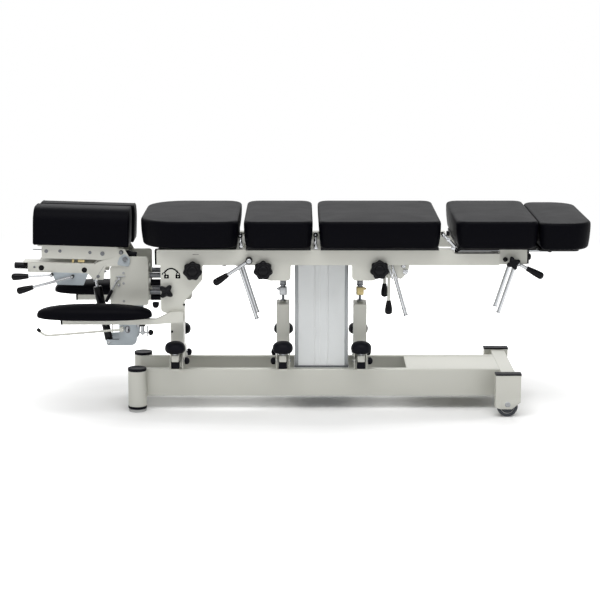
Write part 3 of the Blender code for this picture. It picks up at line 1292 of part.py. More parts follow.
def bent_bar(carrier):
    """The long release bar under the near armrest, bent up at its free end."""
    x = BENT_X
    z, corner_z, tip_z = [LOWER_PLATE_Z + LOWER_HIGH * share for share in BENT_HEIGHT_SHARES]
    swing = body("bent_bar", (x, -LOWER_PLATE_Y, z), carrier)
    face = -LOWER_PLATE_Y - SEAT
    bar = cylinder("head_release_bar", (x, face, z), (x, BENT_Y - BENT_R, z), BENT_HUB_R)
    tip = Vector((BENT_TIP_X, BENT_Y, tip_z))
    corner = Vector((BENT_CORNER_X, BENT_Y, corner_z))
    root = Vector((x, BENT_Y, z))
    bend = BENT_GRIP_LONG
    before = corner + (root - corner).normalized() * bend
    after = corner + (tip - corner).normalized() * bend
    curve_steps = CORNER_STEPS
    points = [root]
    for step in range(curve_steps + 1):
        share = step / curve_steps
        points.append(before * (1 - share) ** 2 + corner * 2 * share * (1 - share) + after * share ** 2)
    points.append(tip)
    join(bar, tube("bar", points, BENT_R))
    outward = (tip - corner).normalized()
    join(bar, cylinder("tip", tip - outward * BENT_GRIP_LONG / 2, tip + outward * BENT_GRIP_LONG / 2, BENT_GRIP_R))
    place(bar, "powder_coat", swing)


def armrest(label, side, top):
    """An arm that swings down about its pin in the gusset's leg, with an oval pad on it."""
    x, z = ARM_AT
    swing = body("armrest_" + label, (x, side * GUSSET_OUT_Y, z), top)
    corners = rounded([
        (ARM_END_X, ARM_LOW), (ARM_KNEE_X, ARM_LOW), ARM_HEEL, (x, z - ARM_HUB_R), (x + ARM_HUB_R, z - ARM_HUB_R),
        (x + ARM_HUB_R, z + ARM_HUB_R), (x, z + ARM_HUB_R), ARM_SHOULDER, (ARM_KNEE_X + ARM_HUB_R, ARM_TOP),
        (ARM_END_X, ARM_TOP),
    ], ROOT)
    inner = GUSSET_OUT_Y + SEAT
    arm = plate("armrest_arm_" + label, corners, "Y", *mirrored(side, inner, inner + ARM_WIDE))
    ends = [(x, y, z) for y in mirrored(side, GUSSET_OUT_Y - SHEET - ROOT, inner + ROOT)]
    join(arm, cylinder("pin", *ends, ARM_PIN_R))
    place(arm, "powder_coat", swing)
    middle_x = (ARM_PAD_X[0] + ARM_PAD_X[1]) / 2
    half_x = (ARM_PAD_X[1] - ARM_PAD_X[0]) / 2

    def oval(x_place):
        share = min(1.0, abs(x_place - middle_x) / half_x)
        return max(ARM_PAD_END_SHARE, (1 - share ** 4) ** 0.5)

    pad_y = (side * ARM_PAD_Y - ARM_PAD_HALF_Y, side * ARM_PAD_Y + ARM_PAD_HALF_Y)
    low = ARM_TOP + SEAT
    pad = cushion("armrest_pad_" + label, ARM_PAD_X, pad_y, (low, low + ARM_PAD_HIGH), ARM_PAD_EDGE,
                  ARM_PAD_EDGE, ARM_PAD_CROWN, 0, (5, 1), oval)
    place(pad, "black_vinyl", swing)


def build():
    clear_scene()
    table = body("table", (MIDDLE_X, 0, 0))
    table.location = (0, 0, 0)
    base = body("base", (MIDDLE_X, 0, 0), table)
    for label, side in SIDES.items():
        base_beam(label, side, base)
        wheel(label, side, base)
    wheel_frame(base)
    lift_column(base)
    for section, x in TOWER_XS.items():
        pedal_tower(section, x, base)
        for label, side in SIDES.items():
            pedal(section, label, side, x, base)
    top = body("lift", (COLUMN_X, 0, -COLUMN_DROP), base, rise=RAIL_TOP)
    for label, side in SIDES.items():
        side_frame(label, side, top)
        armrest(label, side, top)
    head_cross(top)
    lift_subframe(top)
    slide_carrier(top)
    for section, x in TOWER_XS.items():
        push_rod(section, x, top)
    for section, at in TENSION_KNOBS.items():
        hand_knob(
            "tension_knob_" + section, at, -GUSSET_OUT_Y, TENSION_STEM_R, TENSION_STEM_LONG, TENSION_R,
            TENSION_THICK, TENSION_LOBES, TENSION_LOBE_SHARE, TENSION_BOSS_R, TENSION_BOSS_HIGH, top,
        )
    star = (STAR_R, STAR_THICK, STAR_LOBES, STAR_LOBE_SHARE, STAR_BOSS_R, ROOT, top)
    hand_knob("star_knob_head", HEAD_STAR, -GUSSET_OUT_Y, STAR_STEM_R, STAR_STEM_LONG, *star)
    hand_knob("star_knob_foot", FOOT_STAR, -CARRIER_HALF_Y, STAR_STEM_R, FOOT_STAR_STEM_LONG, *star)
    hand_lever("lumbar_lever", LUMBAR_LEVER, -SIDE_OUT_Y, LUMBAR_LEVER_HUB_R, LUMBAR_LEVER_HUB_LONG, top)
    hand_lever("foot_lever", FOOT_LEVER, -CARRIER_HALF_Y, FOOT_LEVER_HUB_R, FOOT_LEVER_HUB_LONG, top)
    release_levers(top)
    for label in COCKING:
        cocking_lever(label, top)
    drop_section("chest", 1, top)
    drop_section("lumbar", 1, top)
    drop_section("pelvic", 0, top)
    leg_section(top)
    carrier = head_carrier(top)
    rest = head_beam(carrier)
    head_deck(rest)
    gas_strut(carrier)
    bent_bar(carrier)


build()
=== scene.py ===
"""Dresses the chiropractic drop table: upholstery, knobs, levers, pedals, trim and finishes.

Stations along X are measured as in the part's source, from a line MIDDLE short of the
table's middle. The head end is at low X and the near side at low Y. Every shape is a
surface of two parameters, worked out as a numpy grid.
"""

import math

import bmesh
import bpy
import numpy as np
from bpy.props import FloatProperty, FloatVectorProperty, PointerProperty, StringProperty
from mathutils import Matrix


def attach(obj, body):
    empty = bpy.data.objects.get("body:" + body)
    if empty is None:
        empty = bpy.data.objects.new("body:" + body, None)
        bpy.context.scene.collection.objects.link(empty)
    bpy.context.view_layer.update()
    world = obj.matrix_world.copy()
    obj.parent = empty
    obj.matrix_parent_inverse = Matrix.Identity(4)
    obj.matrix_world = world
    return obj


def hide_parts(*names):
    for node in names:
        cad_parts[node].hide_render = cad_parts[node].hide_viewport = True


bl_info = {
    "name": "Chiropractic Drop Table",
    "version": (1, 0, 0),
    "blender": (4, 5, 0),
    "location": "View3D > Sidebar > Drop Table",
    "description": "Dresses the packed drop table with its upholstery, controls and finishes",
    "category": "Object",
}

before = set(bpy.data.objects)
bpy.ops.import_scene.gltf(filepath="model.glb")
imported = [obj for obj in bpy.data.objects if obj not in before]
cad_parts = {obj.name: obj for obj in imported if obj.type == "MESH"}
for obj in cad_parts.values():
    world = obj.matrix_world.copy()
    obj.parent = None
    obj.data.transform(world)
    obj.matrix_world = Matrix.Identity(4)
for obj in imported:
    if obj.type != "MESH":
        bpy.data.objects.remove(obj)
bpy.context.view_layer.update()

MIDDLE = 0.0055
HEAD_SLOPE = math.radians(1.7)

# Places as (station, height), stations alone, and the Y of near faces that carry knobs and levers
TILT_AT = (-0.630, 0.552)
STRUT_FOOT, STRUT_EYE = (-0.699, 0.236), (-0.744, 0.467)
FOOT_X, CASTOR_X = -0.590, 0.744
RAIL_FACE, HOUSING_FACE, LEVER_FACE, BEAM_FACE = -0.2199, -0.2003, -0.1018, -0.0998

# Each pedal tower's station, and the way along X that its pedals' side knobs point
TOWERS = {"chest": (-0.449, 1), "lumbar": (-0.062, -1), "pelvic": (0.220, 1)}
SIDES = {"near": -1, "far": 1}
NEAR, FAR, UP, DOWN, FOOTWARDS = (0, -1, 0), (0, 1, 0), (0, 0, 1), (0, 0, -1), (1, 0, 0)

# Each cocking lever's pivot and the end of its rods
COCKING = {
    "chest": ((-0.222, 0.530), (-0.157, 0.325)),
    "pelvic": ((0.331, 0.530), (0.3855, 0.338)),
    "foot": ((0.781, 0.530), (0.722, 0.348)),
}


# Surfaces. A shell is a pair: an array of places, and a list of faces.


def spot(x, y, z):
    """A place in the model from a station along X, and Y and Z."""
    return np.array((x + MIDDLE, y, z), float)


def about(middle, half):
    """The two ends of a stretch about its middle."""
    return middle - half, middle + half


def reach(side, inner, outer):
    """Low and high Y of what lies between two distances from the middle, on one side."""
    return sorted((side * inner, side * outer))


def unit(step):
    """A step shortened to a length of one."""
    return step / np.linalg.norm(step)


def skin(grid):
    """Quads between neighbouring places of an (n, m, 3) grid, whose rows close round and end in caps."""
    n, m = grid.shape[:2]
    rows, cols = np.meshgrid(np.arange(n - 1), np.arange(m), indexing="ij")
    after = (cols + 1) % m
    quads = np.stack([rows * m + cols, rows * m + after, (rows + 1) * m + after, (rows + 1) * m + cols], -1)
    faces = quads.reshape(-1, 4).tolist()
    faces.append(np.arange(m)[::-1].tolist())
    faces.append((np.arange(m) + (n - 1) * m).tolist())
    return grid.reshape(-1, 3), faces


def across(direction):
    """A direction's unit vector, and two more square to it and to each other."""
    d = unit(np.asarray(direction, float))
    a = unit(np.cross(d, (0, 1, 0) if abs(d[1]) < 0.9 else (1, 0, 0)))
    return d, a, np.cross(d, a)


def turned(start, direction, profile, steps=32, lobes=0, share=0.0, phase=0.0):
    """A profile of (distance along, radius) turned round an axis.

    With lobes, the radius at angle t is r (1 - s + s cos(lobes (t - phase))), where s grows
    from nothing at the axis to the full share at the widest place.
    """
    d, a, b = across(direction)
    along, radius = np.array(profile, float).T
    t = np.linspace(0, 2 * np.pi, steps, endpoint=False)
    s = share * np.clip(radius / radius.max(), 0, 1)[:, None] ** 2
    r = radius[:, None] * (1 - s + s * np.cos(lobes * (t - phase))[None, :])
    grid = (
        np.asarray(start, float) + along[:, None, None] * d
        + r[..., None] * (np.cos(t)[None, :, None] * a + np.sin(t)[None, :, None] * b)
    )
    return skin(grid)


def lathe(start, direction, profile, steps=28):
    """A solid turned piece, whose profile is closed at the axis at both ends."""
    last = [(profile[-1][0], 0)] if profile[-1][1] else []
    return turned(start, direction, [(0, 0), *profile, *last], steps)


def drum(start, direction, radius, high, steps=28):
    """A plain round disc, or a nut with six steps."""
    return lathe(start, direction, [(0, radius), (high, radius)], steps)


def rivet(start, radius, straight, high, top, steps=24):
    """A round head on the near side, straight for a part of its height and then narrowing to its top."""
    return lathe(start, NEAR, [(0, radius), (straight, radius), (high, top)], steps)


def rod(start, end, radius, rim=0.0006, tip=None):
    """A round bar between two places with a small chamfer at each end, tapered where tip differs."""
    start, end = np.asarray(start, float), np.asarray(end, float)
    long = np.linalg.norm(end - start)
    tip = radius if tip is None else tip
    profile = [(0, 0), (0, radius - rim), (rim, radius), (long - rim, tip), (long, tip - rim), (long, 0)]
    return turned(start, end - start, profile, 24)


def sweep(points, radius, steps=16, up=(0, 1, 0)):
    """A circle of one radius carried along a path, square to it at each point."""
    p = np.asarray(points, float)
    t = np.gradient(p, axis=0)
    t /= np.linalg.norm(t, axis=1)[:, None]
    a = np.cross(t, up)
    a /= np.linalg.norm(a, axis=1)[:, None]
    b = np.cross(t, a)
    w = np.linspace(0, 2 * np.pi, steps, endpoint=False)
    ring = np.cos(w)[None, :, None] * a[:, None, :] + np.sin(w)[None, :, None] * b[:, None, :]
    grid = p[:, None, :] + radius * ring
    return skin(grid)


def rounded(corners, radius=0.004, steps=6):
    """An outline whose corners (a, b, own radius) are turned into arcs, as an (m, 2) array."""
    outline = []
    for index, corner in enumerate(corners):
        here = np.array(corner[:2], float)
        before = np.array(corners[index - 1][:2], float) - here
        after = np.array(corners[(index + 1) % len(corners)][:2], float) - here
        own = corner[2] if len(corner) > 2 else radius
        lb, la = np.linalg.norm(before), np.linalg.norm(after)
        u, v = before / lb, after / la
        half = math.acos(np.clip(u @ v, -1, 1)) / 2
        if own <= 0 or half > 1.55:
            outline.append(here[None, :])
            continue
        cut = min(own / math.tan(half), 0.49 * lb, 0.49 * la)
        middle = (u + v) / np.linalg.norm(u + v)
        centre = here + middle * cut / math.cos(half)
        share = np.linspace(0, 1, steps + 1)[:, None]
        start, end = here + u * cut - centre, here + v * cut - centre
        arc = start * (1 - share) + end * share
        arc *= np.linalg.norm(start) / np.linalg.norm(arc, axis=1)[:, None]
        outline.append(centre + arc)
    return np.concatenate(outline)


def oblong(x0, x1, y0, y1, radius=0.004, steps=6):
    """The outline of a rectangle with rounded corners."""
    return rounded([(x0, y0), (x1, y0), (x1, y1), (x0, y1)], radius, steps)


def inward(outline):
    """Unit vectors that point into a closed outline from each of its places."""
    step = np.roll(outline, -1, 0) - np.roll(outline, 1, 0)
    step /= np.linalg.norm(step, axis=1)[:, None]
    x, y = outline.T
    area = np.sum(x * np.roll(y, -1) - y * np.roll(x, -1))
    turn = 1 if area > 0 else -1
    return np.stack([-step[:, 1], step[:, 0]], 1) * turn


def stood(flat, height, axis):
    """Puts outline places (m, 2) and heights in the model, with the heights along an axis."""
    a, b = flat[..., 0], flat[..., 1]
    h = np.broadcast_to(height, a.shape)
    x, y, z = {"Z": (a, b, h), "Y": (a, h, b), "X": (h, a, b)}[axis]
    return np.stack([x + MIDDLE, y, z], -1)


def slab(outline, axis, low, high, rim=0.0006):
    """An outline carried from low to high along an axis, drawn in by a quarter round at both rims."""
    outline = np.asarray(outline, float)
    into = inward(outline)
    q = np.linspace(0, np.pi / 2, 4)
    depth = np.concatenate([rim * (1 - np.sin(q)), rim * (1 - np.cos(q))])
    height = np.concatenate([low + rim * (1 - np.cos(q)), high - rim * (1 - np.sin(q))])
    grid = np.stack([stood(outline + into * d, h, axis) for d, h in zip(depth, height)])
    return skin(grid)


def block(x, y, z, rim=0.001):
    """A box with slightly rounded edges, as a slab of its plan."""
    return slab(oblong(*x, *y, rim * 1.5, 3), "Z", *z, rim)


def pillow(outline, axis, low, high, foot_round, top_round, crown, draw, rows=14, rings=10):
    """A padded form: flat underside, drawn-in sides, rounded top edge and crowned top.

    A row is the outline moved inwards. The side's inset is draw (1 - h) squared at
    share h of its height. The top edge is a quarter of a superellipse of power 2.4,
    and the top rises over its edge by crown (1 - s to the power 4) at share s from the middle.
    """
    bend = 2 / 2.4
    outline = np.asarray(outline, float)
    into = inward(outline)
    centre = (outline.min(0) + outline.max(0)) / 2
    q = np.linspace(0, np.pi / 2, 7)
    side = np.linspace(0, 1, rows)[1:-1]
    depth = np.concatenate([
        draw + foot_round * (1 - np.sin(q)), draw * (1 - side) ** 2, top_round * (1 - np.cos(q) ** bend),
    ])
    shoulder = high - crown - top_round
    foot = low + foot_round
    height = np.concatenate([
        low + foot_round * (1 - np.cos(q)), foot + (shoulder - foot) * side,
        shoulder + top_round * np.sin(q) ** bend,
    ])
    rims = [stood(outline + into * d, h, axis) for d, h in zip(depth, height)]
    inner = outline + into * depth[-1]
    share = np.linspace(1, 0, rings + 1)[1:] ** 0.8
    tops = [
        stood(centre + (inner - centre) * s, high - crown + crown * (1 - s ** 4), axis) for s in share
    ]
    base = [stood(centre + (outline + into * depth[0] - centre) * s, low, axis) for s in (0.0, 0.4, 0.8)]
    return skin(np.stack(base + rims + tops))


def domed(outline, rim, up, down):
    """An outline drawn in to its middle over a domed top and a shallower domed underside.

    At angle q from the rim the outline's share is cos q, and the height is the rim's
    plus up times sin q to the power 0.6, or minus down times sin -q to the same power.
    """
    rows = 26
    outline = np.asarray(outline, float)
    centre = (outline.min(0) + outline.max(0)) / 2
    u = np.linspace(-1, 1, 2 * rows + 1)
    q = np.sign(u) * np.abs(u) ** 1.7 * np.pi / 2
    lift = np.abs(np.sin(q)) ** 0.6
    height = rim + np.where(q > 0, up, -down) * lift
    grid = np.stack([stood(centre + (outline - centre) * s, h, "Z") for s, h in zip(np.cos(q), height)])
    return skin(grid)


def lean(shell):
    """A shell of the head rest, turned about the tilt axis by the head rest's slope."""
    places, faces = shell
    pivot = spot(TILT_AT[0], 0, TILT_AT[1])
    c, s = math.cos(HEAD_SLOPE), math.sin(HEAD_SLOPE)
    turn = np.array(((c, 0, s), (0, 1, 0), (-s, 0, c)))
    return (places - pivot) @ turn.T + pivot, faces


def piece(name, shells, look, body, hides=(), crease=35):
    """One object from closed shells: doubles merged, normals outwards, with its finish, slot and body."""
    places, faces, start = [], [], 0
    for points, quads in shells:
        places.append(points)
        faces += [[index + start for index in face] for face in quads]
        start += len(points)
    mesh = bpy.data.meshes.new(name)
    mesh.from_pydata(np.concatenate(places).tolist(), [], faces)
    form = bmesh.new()
    form.from_mesh(mesh)
    bmesh.ops.remove_doubles(form, verts=form.verts, dist=2e-6)
    bmesh.ops.dissolve_degenerate(form, edges=form.edges, dist=1e-6)
    bmesh.ops.recalc_face_normals(form, faces=form.faces)
    form.to_mesh(mesh)
    form.free()
    mesh.shade_smooth()
    mesh.set_sharp_from_angle(angle=math.radians(crease))
    obj = bpy.data.objects.new(name, mesh)
    bpy.context.scene.collection.objects.link(obj)
    mesh.materials.append(look())
    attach(obj, body)
    if hides:
        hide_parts(*hides)
    return obj


def padded(name, shells, body, hides):
    """A padded piece in vinyl, which shows in the place of one plain solid."""
    obj = piece(name, shells, upholstery_vinyl, body, (hides,), crease=80)


# Finishes


def linear(hex_code):
    """The linear colour of an sRGB hex value."""
    value = hex_code.lstrip("#")
    channels = [int(value[i:i + 2], 16) / 255 for i in (0, 2, 4)]
    return (*[c / 12.92 if c <= 0.04045 else ((c + 0.055) / 1.055) ** 2.4 for c in channels], 1.0)


def add(tree, kind, settings=(), links=()):
    """Adds a node, sets its properties and inputs by name, and links (its input, from socket)."""
    made = tree.nodes.new(kind)
    for key, value in dict(settings).items():
        if key in made.inputs:
            made.inputs[key].default_value = value
        else:
            setattr(made, key, value)
    for key, socket in dict(links).items():
        tree.links.new(socket, made.inputs[key])
    return made


def finish(name, colour, roughness, metallic=0.0, grain=None, cells=False, shade=None, patch_mm=60.0,
           blotch=0.12, stretch=(1, 1, 1), specular=0.5):
    """A Principled surface with a fine bump of a real size, and soft patches in tone and gloss.

    The tone goes from colour to shade over patches of patch_mm, and the gloss varies by
    blotch. The grain is the bump's width and height in millimetres: noise, or a cell
    pattern for leather.
    """
    material = bpy.data.materials.get(name)
    if material:
        return material
    material = bpy.data.materials.new(name)
    material.use_nodes = True
    tree = material.node_tree
    shader = tree.nodes["Principled BSDF"]
    shader.inputs["Metallic"].default_value = metallic
    shader.inputs["Specular IOR Level"].default_value = specular
    place = add(tree, "ShaderNodeTexCoord").outputs["Object"]
    patches = add(tree, "ShaderNodeTexNoise", {"Scale": 1000 / patch_mm, "Detail": 3.0}, {"Vector": place})
    tone = add(tree, "ShaderNodeMix", {"data_type": "RGBA"}, {"Factor": patches.outputs["Fac"]})
    tone.inputs["A"].default_value = linear(colour)
    tone.inputs["B"].default_value = linear(shade or colour)
    tree.links.new(tone.outputs[2], shader.inputs["Base Color"])
    gloss = add(tree, "ShaderNodeMapRange", {
        "To Min": roughness * (1 - blotch), "To Max": min(1.0, roughness * (1 + blotch)),
    }, {"Value": patches.outputs["Fac"]})
    tree.links.new(gloss.outputs["Result"], shader.inputs["Roughness"])
    if grain:
        wide, high = grain
        stretched = add(tree, "ShaderNodeMapping", {"Scale": stretch}, {"Vector": place}).outputs["Vector"]
        if cells:
            relief = add(tree, "ShaderNodeTexVoronoi", {"feature": "SMOOTH_F1", "Scale": 1000 / wide},
                         {"Vector": stretched}).outputs["Distance"]
        else:
            relief = add(tree, "ShaderNodeTexNoise", {"Scale": 1000 / wide, "Detail": 4.0},
                         {"Vector": stretched}).outputs["Fac"]
        bump = add(tree, "ShaderNodeBump", {"Strength": 1.0, "Distance": high / 1000}, {"Height": relief})
        tree.links.new(bump.outputs["Normal"], shader.inputs["Normal"])
    return material


def powder_coat():
    """Warm off-white epoxy powder coat: the cured skin has a fine orange peel and a soft gloss."""
    code = bpy.context.scene.table_metalwork.coat
    return finish("powder_coat", code, 0.38, grain=(1.6, 0.05), shade="#d2d3c8")


def blue_grey_coat():
    """Cool grey coat of the head rest's brackets, a little glossier than the frame's."""
    return finish("blue_grey_coat", "#b2bac0", 0.36, grain=(1.6, 0.03), shade="#a8b1b7")


def upholstery_vinyl():
    """Blue-black vinyl over foam: pressed leather grain 1.7 mm wide, and a dull sheen at the edges."""
    code = bpy.context.scene.table_upholstery.cover
    return finish("upholstery_vinyl", code, 0.46, grain=(1.7, 0.05), cells=True, shade="#06060a",
                  patch_mm=90, specular=0.030)


def moulded_black():
    """Moulded phenolic of the knobs and grips: near black, with a hard gloss."""
    return finish("moulded_phenolic", "#06060a", 0.16, grain=(6, 0.02), shade="#09090e", patch_mm=20,
                  specular=0.12)


def black_rubber():
    """Matt synthetic rubber of pads, caps and glides, slightly bloomed to blue-grey."""
    return finish("synthetic_rubber", "#0b0b12", 0.45, grain=(0.9, 0.03), shade="#101118", patch_mm=25,
                  specular=0.08)


def black_laminate():
    """Black edge-sealed plywood of the boards, with the faint long grain of the wood."""
    return finish("sealed_plywood", "#0d0d0f", 0.5, grain=(3, 0.05), stretch=(0.12, 1, 1), specular=0.2)


def chrome_plate():
    """Polished chrome plate, with faint haze where it was buffed."""
    return finish("chrome_plate", "#b4b6b8", 0.12, 1.0, shade="#a4a6a9", patch_mm=15, blotch=0.3)


def zinc_plate():
    """Clear zinc plate on steel fittings: dull silver, patchy in tone."""
    return finish("zinc_plate", "#a3a5a6", 0.32, 1.0, grain=(2, 0.02), shade="#8d8f92", patch_mm=8)


def yellow_zinc():
    """Yellow passivated zinc of one clamp block and of the head rest's latch: straw-coloured, dull."""
    return finish("yellow_zinc", "#bdae80", 0.34, 0.7, grain=(2, 0.02), shade="#a39265", patch_mm=8)


def anodised_aluminium():
    """Satin anodised column profile, drawn upwards so that its fine lines run along Z."""
    return finish("anodised_aluminium", "#e2e5e5", 0.36, 0.15, grain=(0.8, 0.01), shade="#dcdfe0",
                  patch_mm=140, stretch=(1, 1, 0.01))


def column_edge():
    """Machined strips in the column's corners: greyer and more metallic than its faces."""
    return finish("machined_aluminium", "#8b8e90", 0.30, 0.75, grain=(0.8, 0.01), stretch=(1, 1, 0.01))


def burnished_steel():
    """Oiled dark steel of threads, nuts, bolts and slide tubes."""
    return finish("burnished_steel", "#717376", 0.30, 1.0, grain=(2, 0.02), shade="#5b5d60", patch_mm=6)


def glide_nylon():
    """Natural nylon of the feet's lower discs and the castors' cores: pale grey, slightly waxy."""
    return finish("glide_nylon", "#b4b5b4", 0.4, grain=(2, 0.02), shade="#a6a7a6", patch_mm=15)


def painted_highlight():
    """Near-white paint on thin strips down the column's faces: painted highlights that stand for fine bright
    lines of light there.
    """
    return finish("painted_highlight", "#f4f6f6", 0.3, 0.1)


def castor_tread():
    """Slate thermoplastic tread of the castors, with a soft gloss."""
    return finish("castor_tread", "#2b3038", 0.42, grain=(1.2, 0.02), shade="#22262d")


def printed_black():
    """Screen-printed black of the plain padlock signs."""
    return finish("printed_black", "#060608", 0.6, specular=0.1)


# Settings


class UpholsterySettings(bpy.types.PropertyGroup):
    """Sizes and colour of the padded pieces."""

    cover: StringProperty(name="Cover colour", description="sRGB hex of the vinyl", default="#07070c")
    top_round: FloatProperty(name="Top edge", description="Radius of the cushions' top edge",
                             default=0.014, unit="LENGTH", subtype="DISTANCE")
    crown: FloatProperty(name="Crown", description="Rise of the cushions' middle over their edge",
                         default=0.006, unit="LENGTH", subtype="DISTANCE")
    draw: FloatProperty(name="Draw", description="How far the cushions' sides pull in at the foot",
                        default=0.006, unit="LENGTH", subtype="DISTANCE")


class MetalworkSettings(bpy.types.PropertyGroup):
    """Colour and edges of the welded frame."""

    coat: StringProperty(name="Coat colour", description="sRGB hex of the powder coat", default="#dcddd3")
    edge: FloatProperty(name="Tube edge", description="Outer corner radius of the steel tube",
                        default=0.004, unit="LENGTH", subtype="DISTANCE")


class ControlSettings(bpy.types.PropertyGroup):
    """Sizes of the knobs and grips."""

    tension_radius: FloatProperty(name="Tension knob", description="Outer radius of the tension knobs",
                                  default=0.035, unit="LENGTH", subtype="DISTANCE")
    star_radius: FloatProperty(name="Star knob", description="Outer radius of the star knobs",
                               default=0.0228, unit="LENGTH", subtype="DISTANCE")
    grip_radius: FloatProperty(name="Grip", description="Widest radius of the lever grips",
                               default=0.0130, unit="LENGTH", subtype="DISTANCE")


class StageSettings(bpy.types.PropertyGroup):
    """Camera and light levels."""

    camera: FloatVectorProperty(name="Camera", description="Place of the camera", subtype="TRANSLATION",
                                default=(0.0055, -6.605, 1.676))
    pitch: FloatProperty(name="Pitch", description="How far the camera looks down", subtype="ANGLE",
                         default=math.radians(11.08))
    lens: FloatProperty(name="Lens", description="Focal length in millimetres", default=109.98)
    sky: FloatProperty(name="Sky", description="Strength of the even white surroundings", default=0.58)
    # paper sets the floor's tone beside the table, where the darker paper is painted shadow
    paper: FloatProperty(name="Paper", description="Whiteness of the floor under the table", default=0.96)
    key: FloatProperty(name="Key", description="Base power of the soft lamps, in watts", default=130.0)


# Upholstery


def plan(x0, x1, half, head_round, foot_round):
    """A cushion's plan, with its own corner radius at each end."""
    return rounded([
        (x0, -half, head_round), (x1, -half, foot_round), (x1, half, foot_round), (x0, half, head_round),
    ], steps=14)


class DROPTABLE_OT_upholstery(bpy.types.Operator):
    """Make the five body cushions"""

    bl_idname = "droptable.upholstery"
    bl_label = "Body cushions"

    def execute(self, context):
        size = context.scene.table_upholstery
        low, high, half = 0.6166, 0.7200, 0.275
        cushions = (
            ("chest", -0.567, -0.2175, 0.142, 0.064, 0.0, "chest_section"),
            ("lumbar", -0.198, 0.045, 0.050, 0.050, 0.0, "lumbar_section"),
            ("pelvic", 0.066, 0.496, 0.045, 0.045, 0.0, "pelvic_section"),
            ("leg", 0.549, 0.837, 0.050, 0.040, 0.0, "leg_section"),
            ("foot", 0.8405, 1.0285, 0.045, 0.092, 0.006, "leg_section"),
        )
        for name, x0, x1, head_round, foot_round, drop, body in cushions:
            form = pillow(plan(x0, x1, half, head_round, foot_round), "Z", low - drop, high - drop, 0.012,
                          size.top_round, size.crown, size.draw)
            padded(name + "_upholstery", [form], body, name + "_cushion")
        return {"FINISHED"}


class DROPTABLE_OT_head_cushions(bpy.types.Operator):
    """Make the two halves of the head cushion"""

    bl_idname = "droptable.head_cushions"
    bl_label = "Head cushions"

    def execute(self, context):
        low, high, long = 0.5966, 0.7330, 0.347
        for label, start in (("near", -0.961), ("far", -0.952)):
            inner, outer = SIDES[label] * 0.0035, SIDES[label] * 0.118
            section = rounded([
                (inner, low, 0.004), (outer, low, 0.008), (outer, high, 0.058), (inner, high, 0.012),
            ], steps=12)
            form = pillow(section, "X", start, start + long, 0.007, 0.007, 0.003, 0.0, rows=20, rings=6)
            welts = [
                sweep(self.seam(section, x), 0.0014, 8, FOOTWARDS) for x in (start + 0.0075, start + 0.3395)
            ]
            padded("head_upholstery_" + label, [lean(s) for s in (form, *welts)],
                   "head_cushion_" + label, "head_cushion_" + label)
        return {"FINISHED"}

    @staticmethod
    def seam(section, x):
        """The cross section's outline at one station, closed, where two panels of cover meet."""
        path = stood(section + inward(section) * 0.0004, x, "X")
        return np.concatenate([path, path[:1]])


class DROPTABLE_OT_armrest_pads(bpy.types.Operator):
    """Make the two oval armrest pads"""

    bl_idname = "droptable.armrest_pads"
    bl_label = "Armrest pads"

    def execute(self, context):
        half_long, half_wide, power = 0.2035, 0.0595, 2 / 2.5
        rim, rise, fall = 0.3745, 0.0410, 0.0141
        t = np.linspace(0, 2 * np.pi, 96, endpoint=False)
        circle = np.stack([np.cos(t), np.sin(t)], 1)
        oval = np.sign(circle) * np.abs(circle) ** power * (half_long, half_wide)
        for label, side in SIDES.items():
            pad = domed(np.array((-0.7275, side * 0.245)) + oval, rim, rise, fall)
            padded("armrest_upholstery_" + label, [pad], "armrest_" + label, "armrest_pad_" + label)
        return {"FINISHED"}


# Controls

# A knob's profile, from its back to its dished front, in shares of its thickness and its radius
KNOB_SHARES = (
    (0, 0), (0, 0.45), (0.10, 0.62), (0.16, 0.93), (0.26, 0.99), (0.40, 1), (0.62, 0.995), (0.80, 0.965),
    (0.92, 0.90), (0.985, 0.80), (1, 0.68), (0.99, 0.56), (0.93, 0.50), (0.93, 0),
)


def knob_body(x, z, face, stem_long, radius, thick, lobes, share, stem_radius, phase=0.0):
    """Shells of a hand knob: a stem, and a lobed head with rounded rims and a dished front."""
    start = spot(x, face, z)
    stem = drum(start, NEAR, stem_radius, stem_long + 0.001, 24)
    profile = [(thick * along, radius * wide) for along, wide in KNOB_SHARES]
    head = turned(start - np.array((0, stem_long, 0)), NEAR, profile, lobes * 14, lobes, share, phase)
    return stem, head


class DROPTABLE_OT_knobs(bpy.types.Operator):
    """Make the three lobed tension knobs and the two star knobs"""

    bl_idname = "droptable.knobs"
    bl_label = "Knobs"

    def execute(self, context):
        size = context.scene.table_controls
        cap_y, ring_y = RAIL_FACE - 0.030, RAIL_FACE - 0.0362
        for label, x, z in (("chest", -0.379, 0.534), ("lumbar", -0.130, 0.536), ("pelvic", 0.281, 0.538)):
            name = "tension_knob_" + label
            stem, head = knob_body(x, z, RAIL_FACE, 0.008, size.tension_radius, 0.026, 7, 0.065, 0.008)
            cap = lathe(spot(x, cap_y, z), NEAR, [
                (0, 0.0165), (0.0045, 0.0160), (0.0062, 0.0138), (0.0068, 0.0100),
            ], 40)
            ring = turned(spot(x, ring_y, z), NEAR, [
                (0, 0.0085), (0.0007, 0.0092), (0.0007, 0.0100), (0, 0.0107),
            ], 40)
            piece(name + "_moulding", [stem, head, cap, ring], moulded_black, name, (name,))
        for label, x, z, face, stem_long, wide, phase in (
            ("head", -0.473, 0.460, RAIL_FACE, 0.010, 1.22, math.radians(52)),
            ("foot", 0.752, 0.562, HOUSING_FACE, 0.033, 1.1, math.radians(20)),
        ):
            name = "star_knob_" + label
            shells = knob_body(x, z, face, stem_long, size.star_radius * wide, 0.018, 4, 0.22, 0.005, phase)
            piece(name + "_moulding", shells, moulded_black, name, (name,))
        return {"FINISHED"}


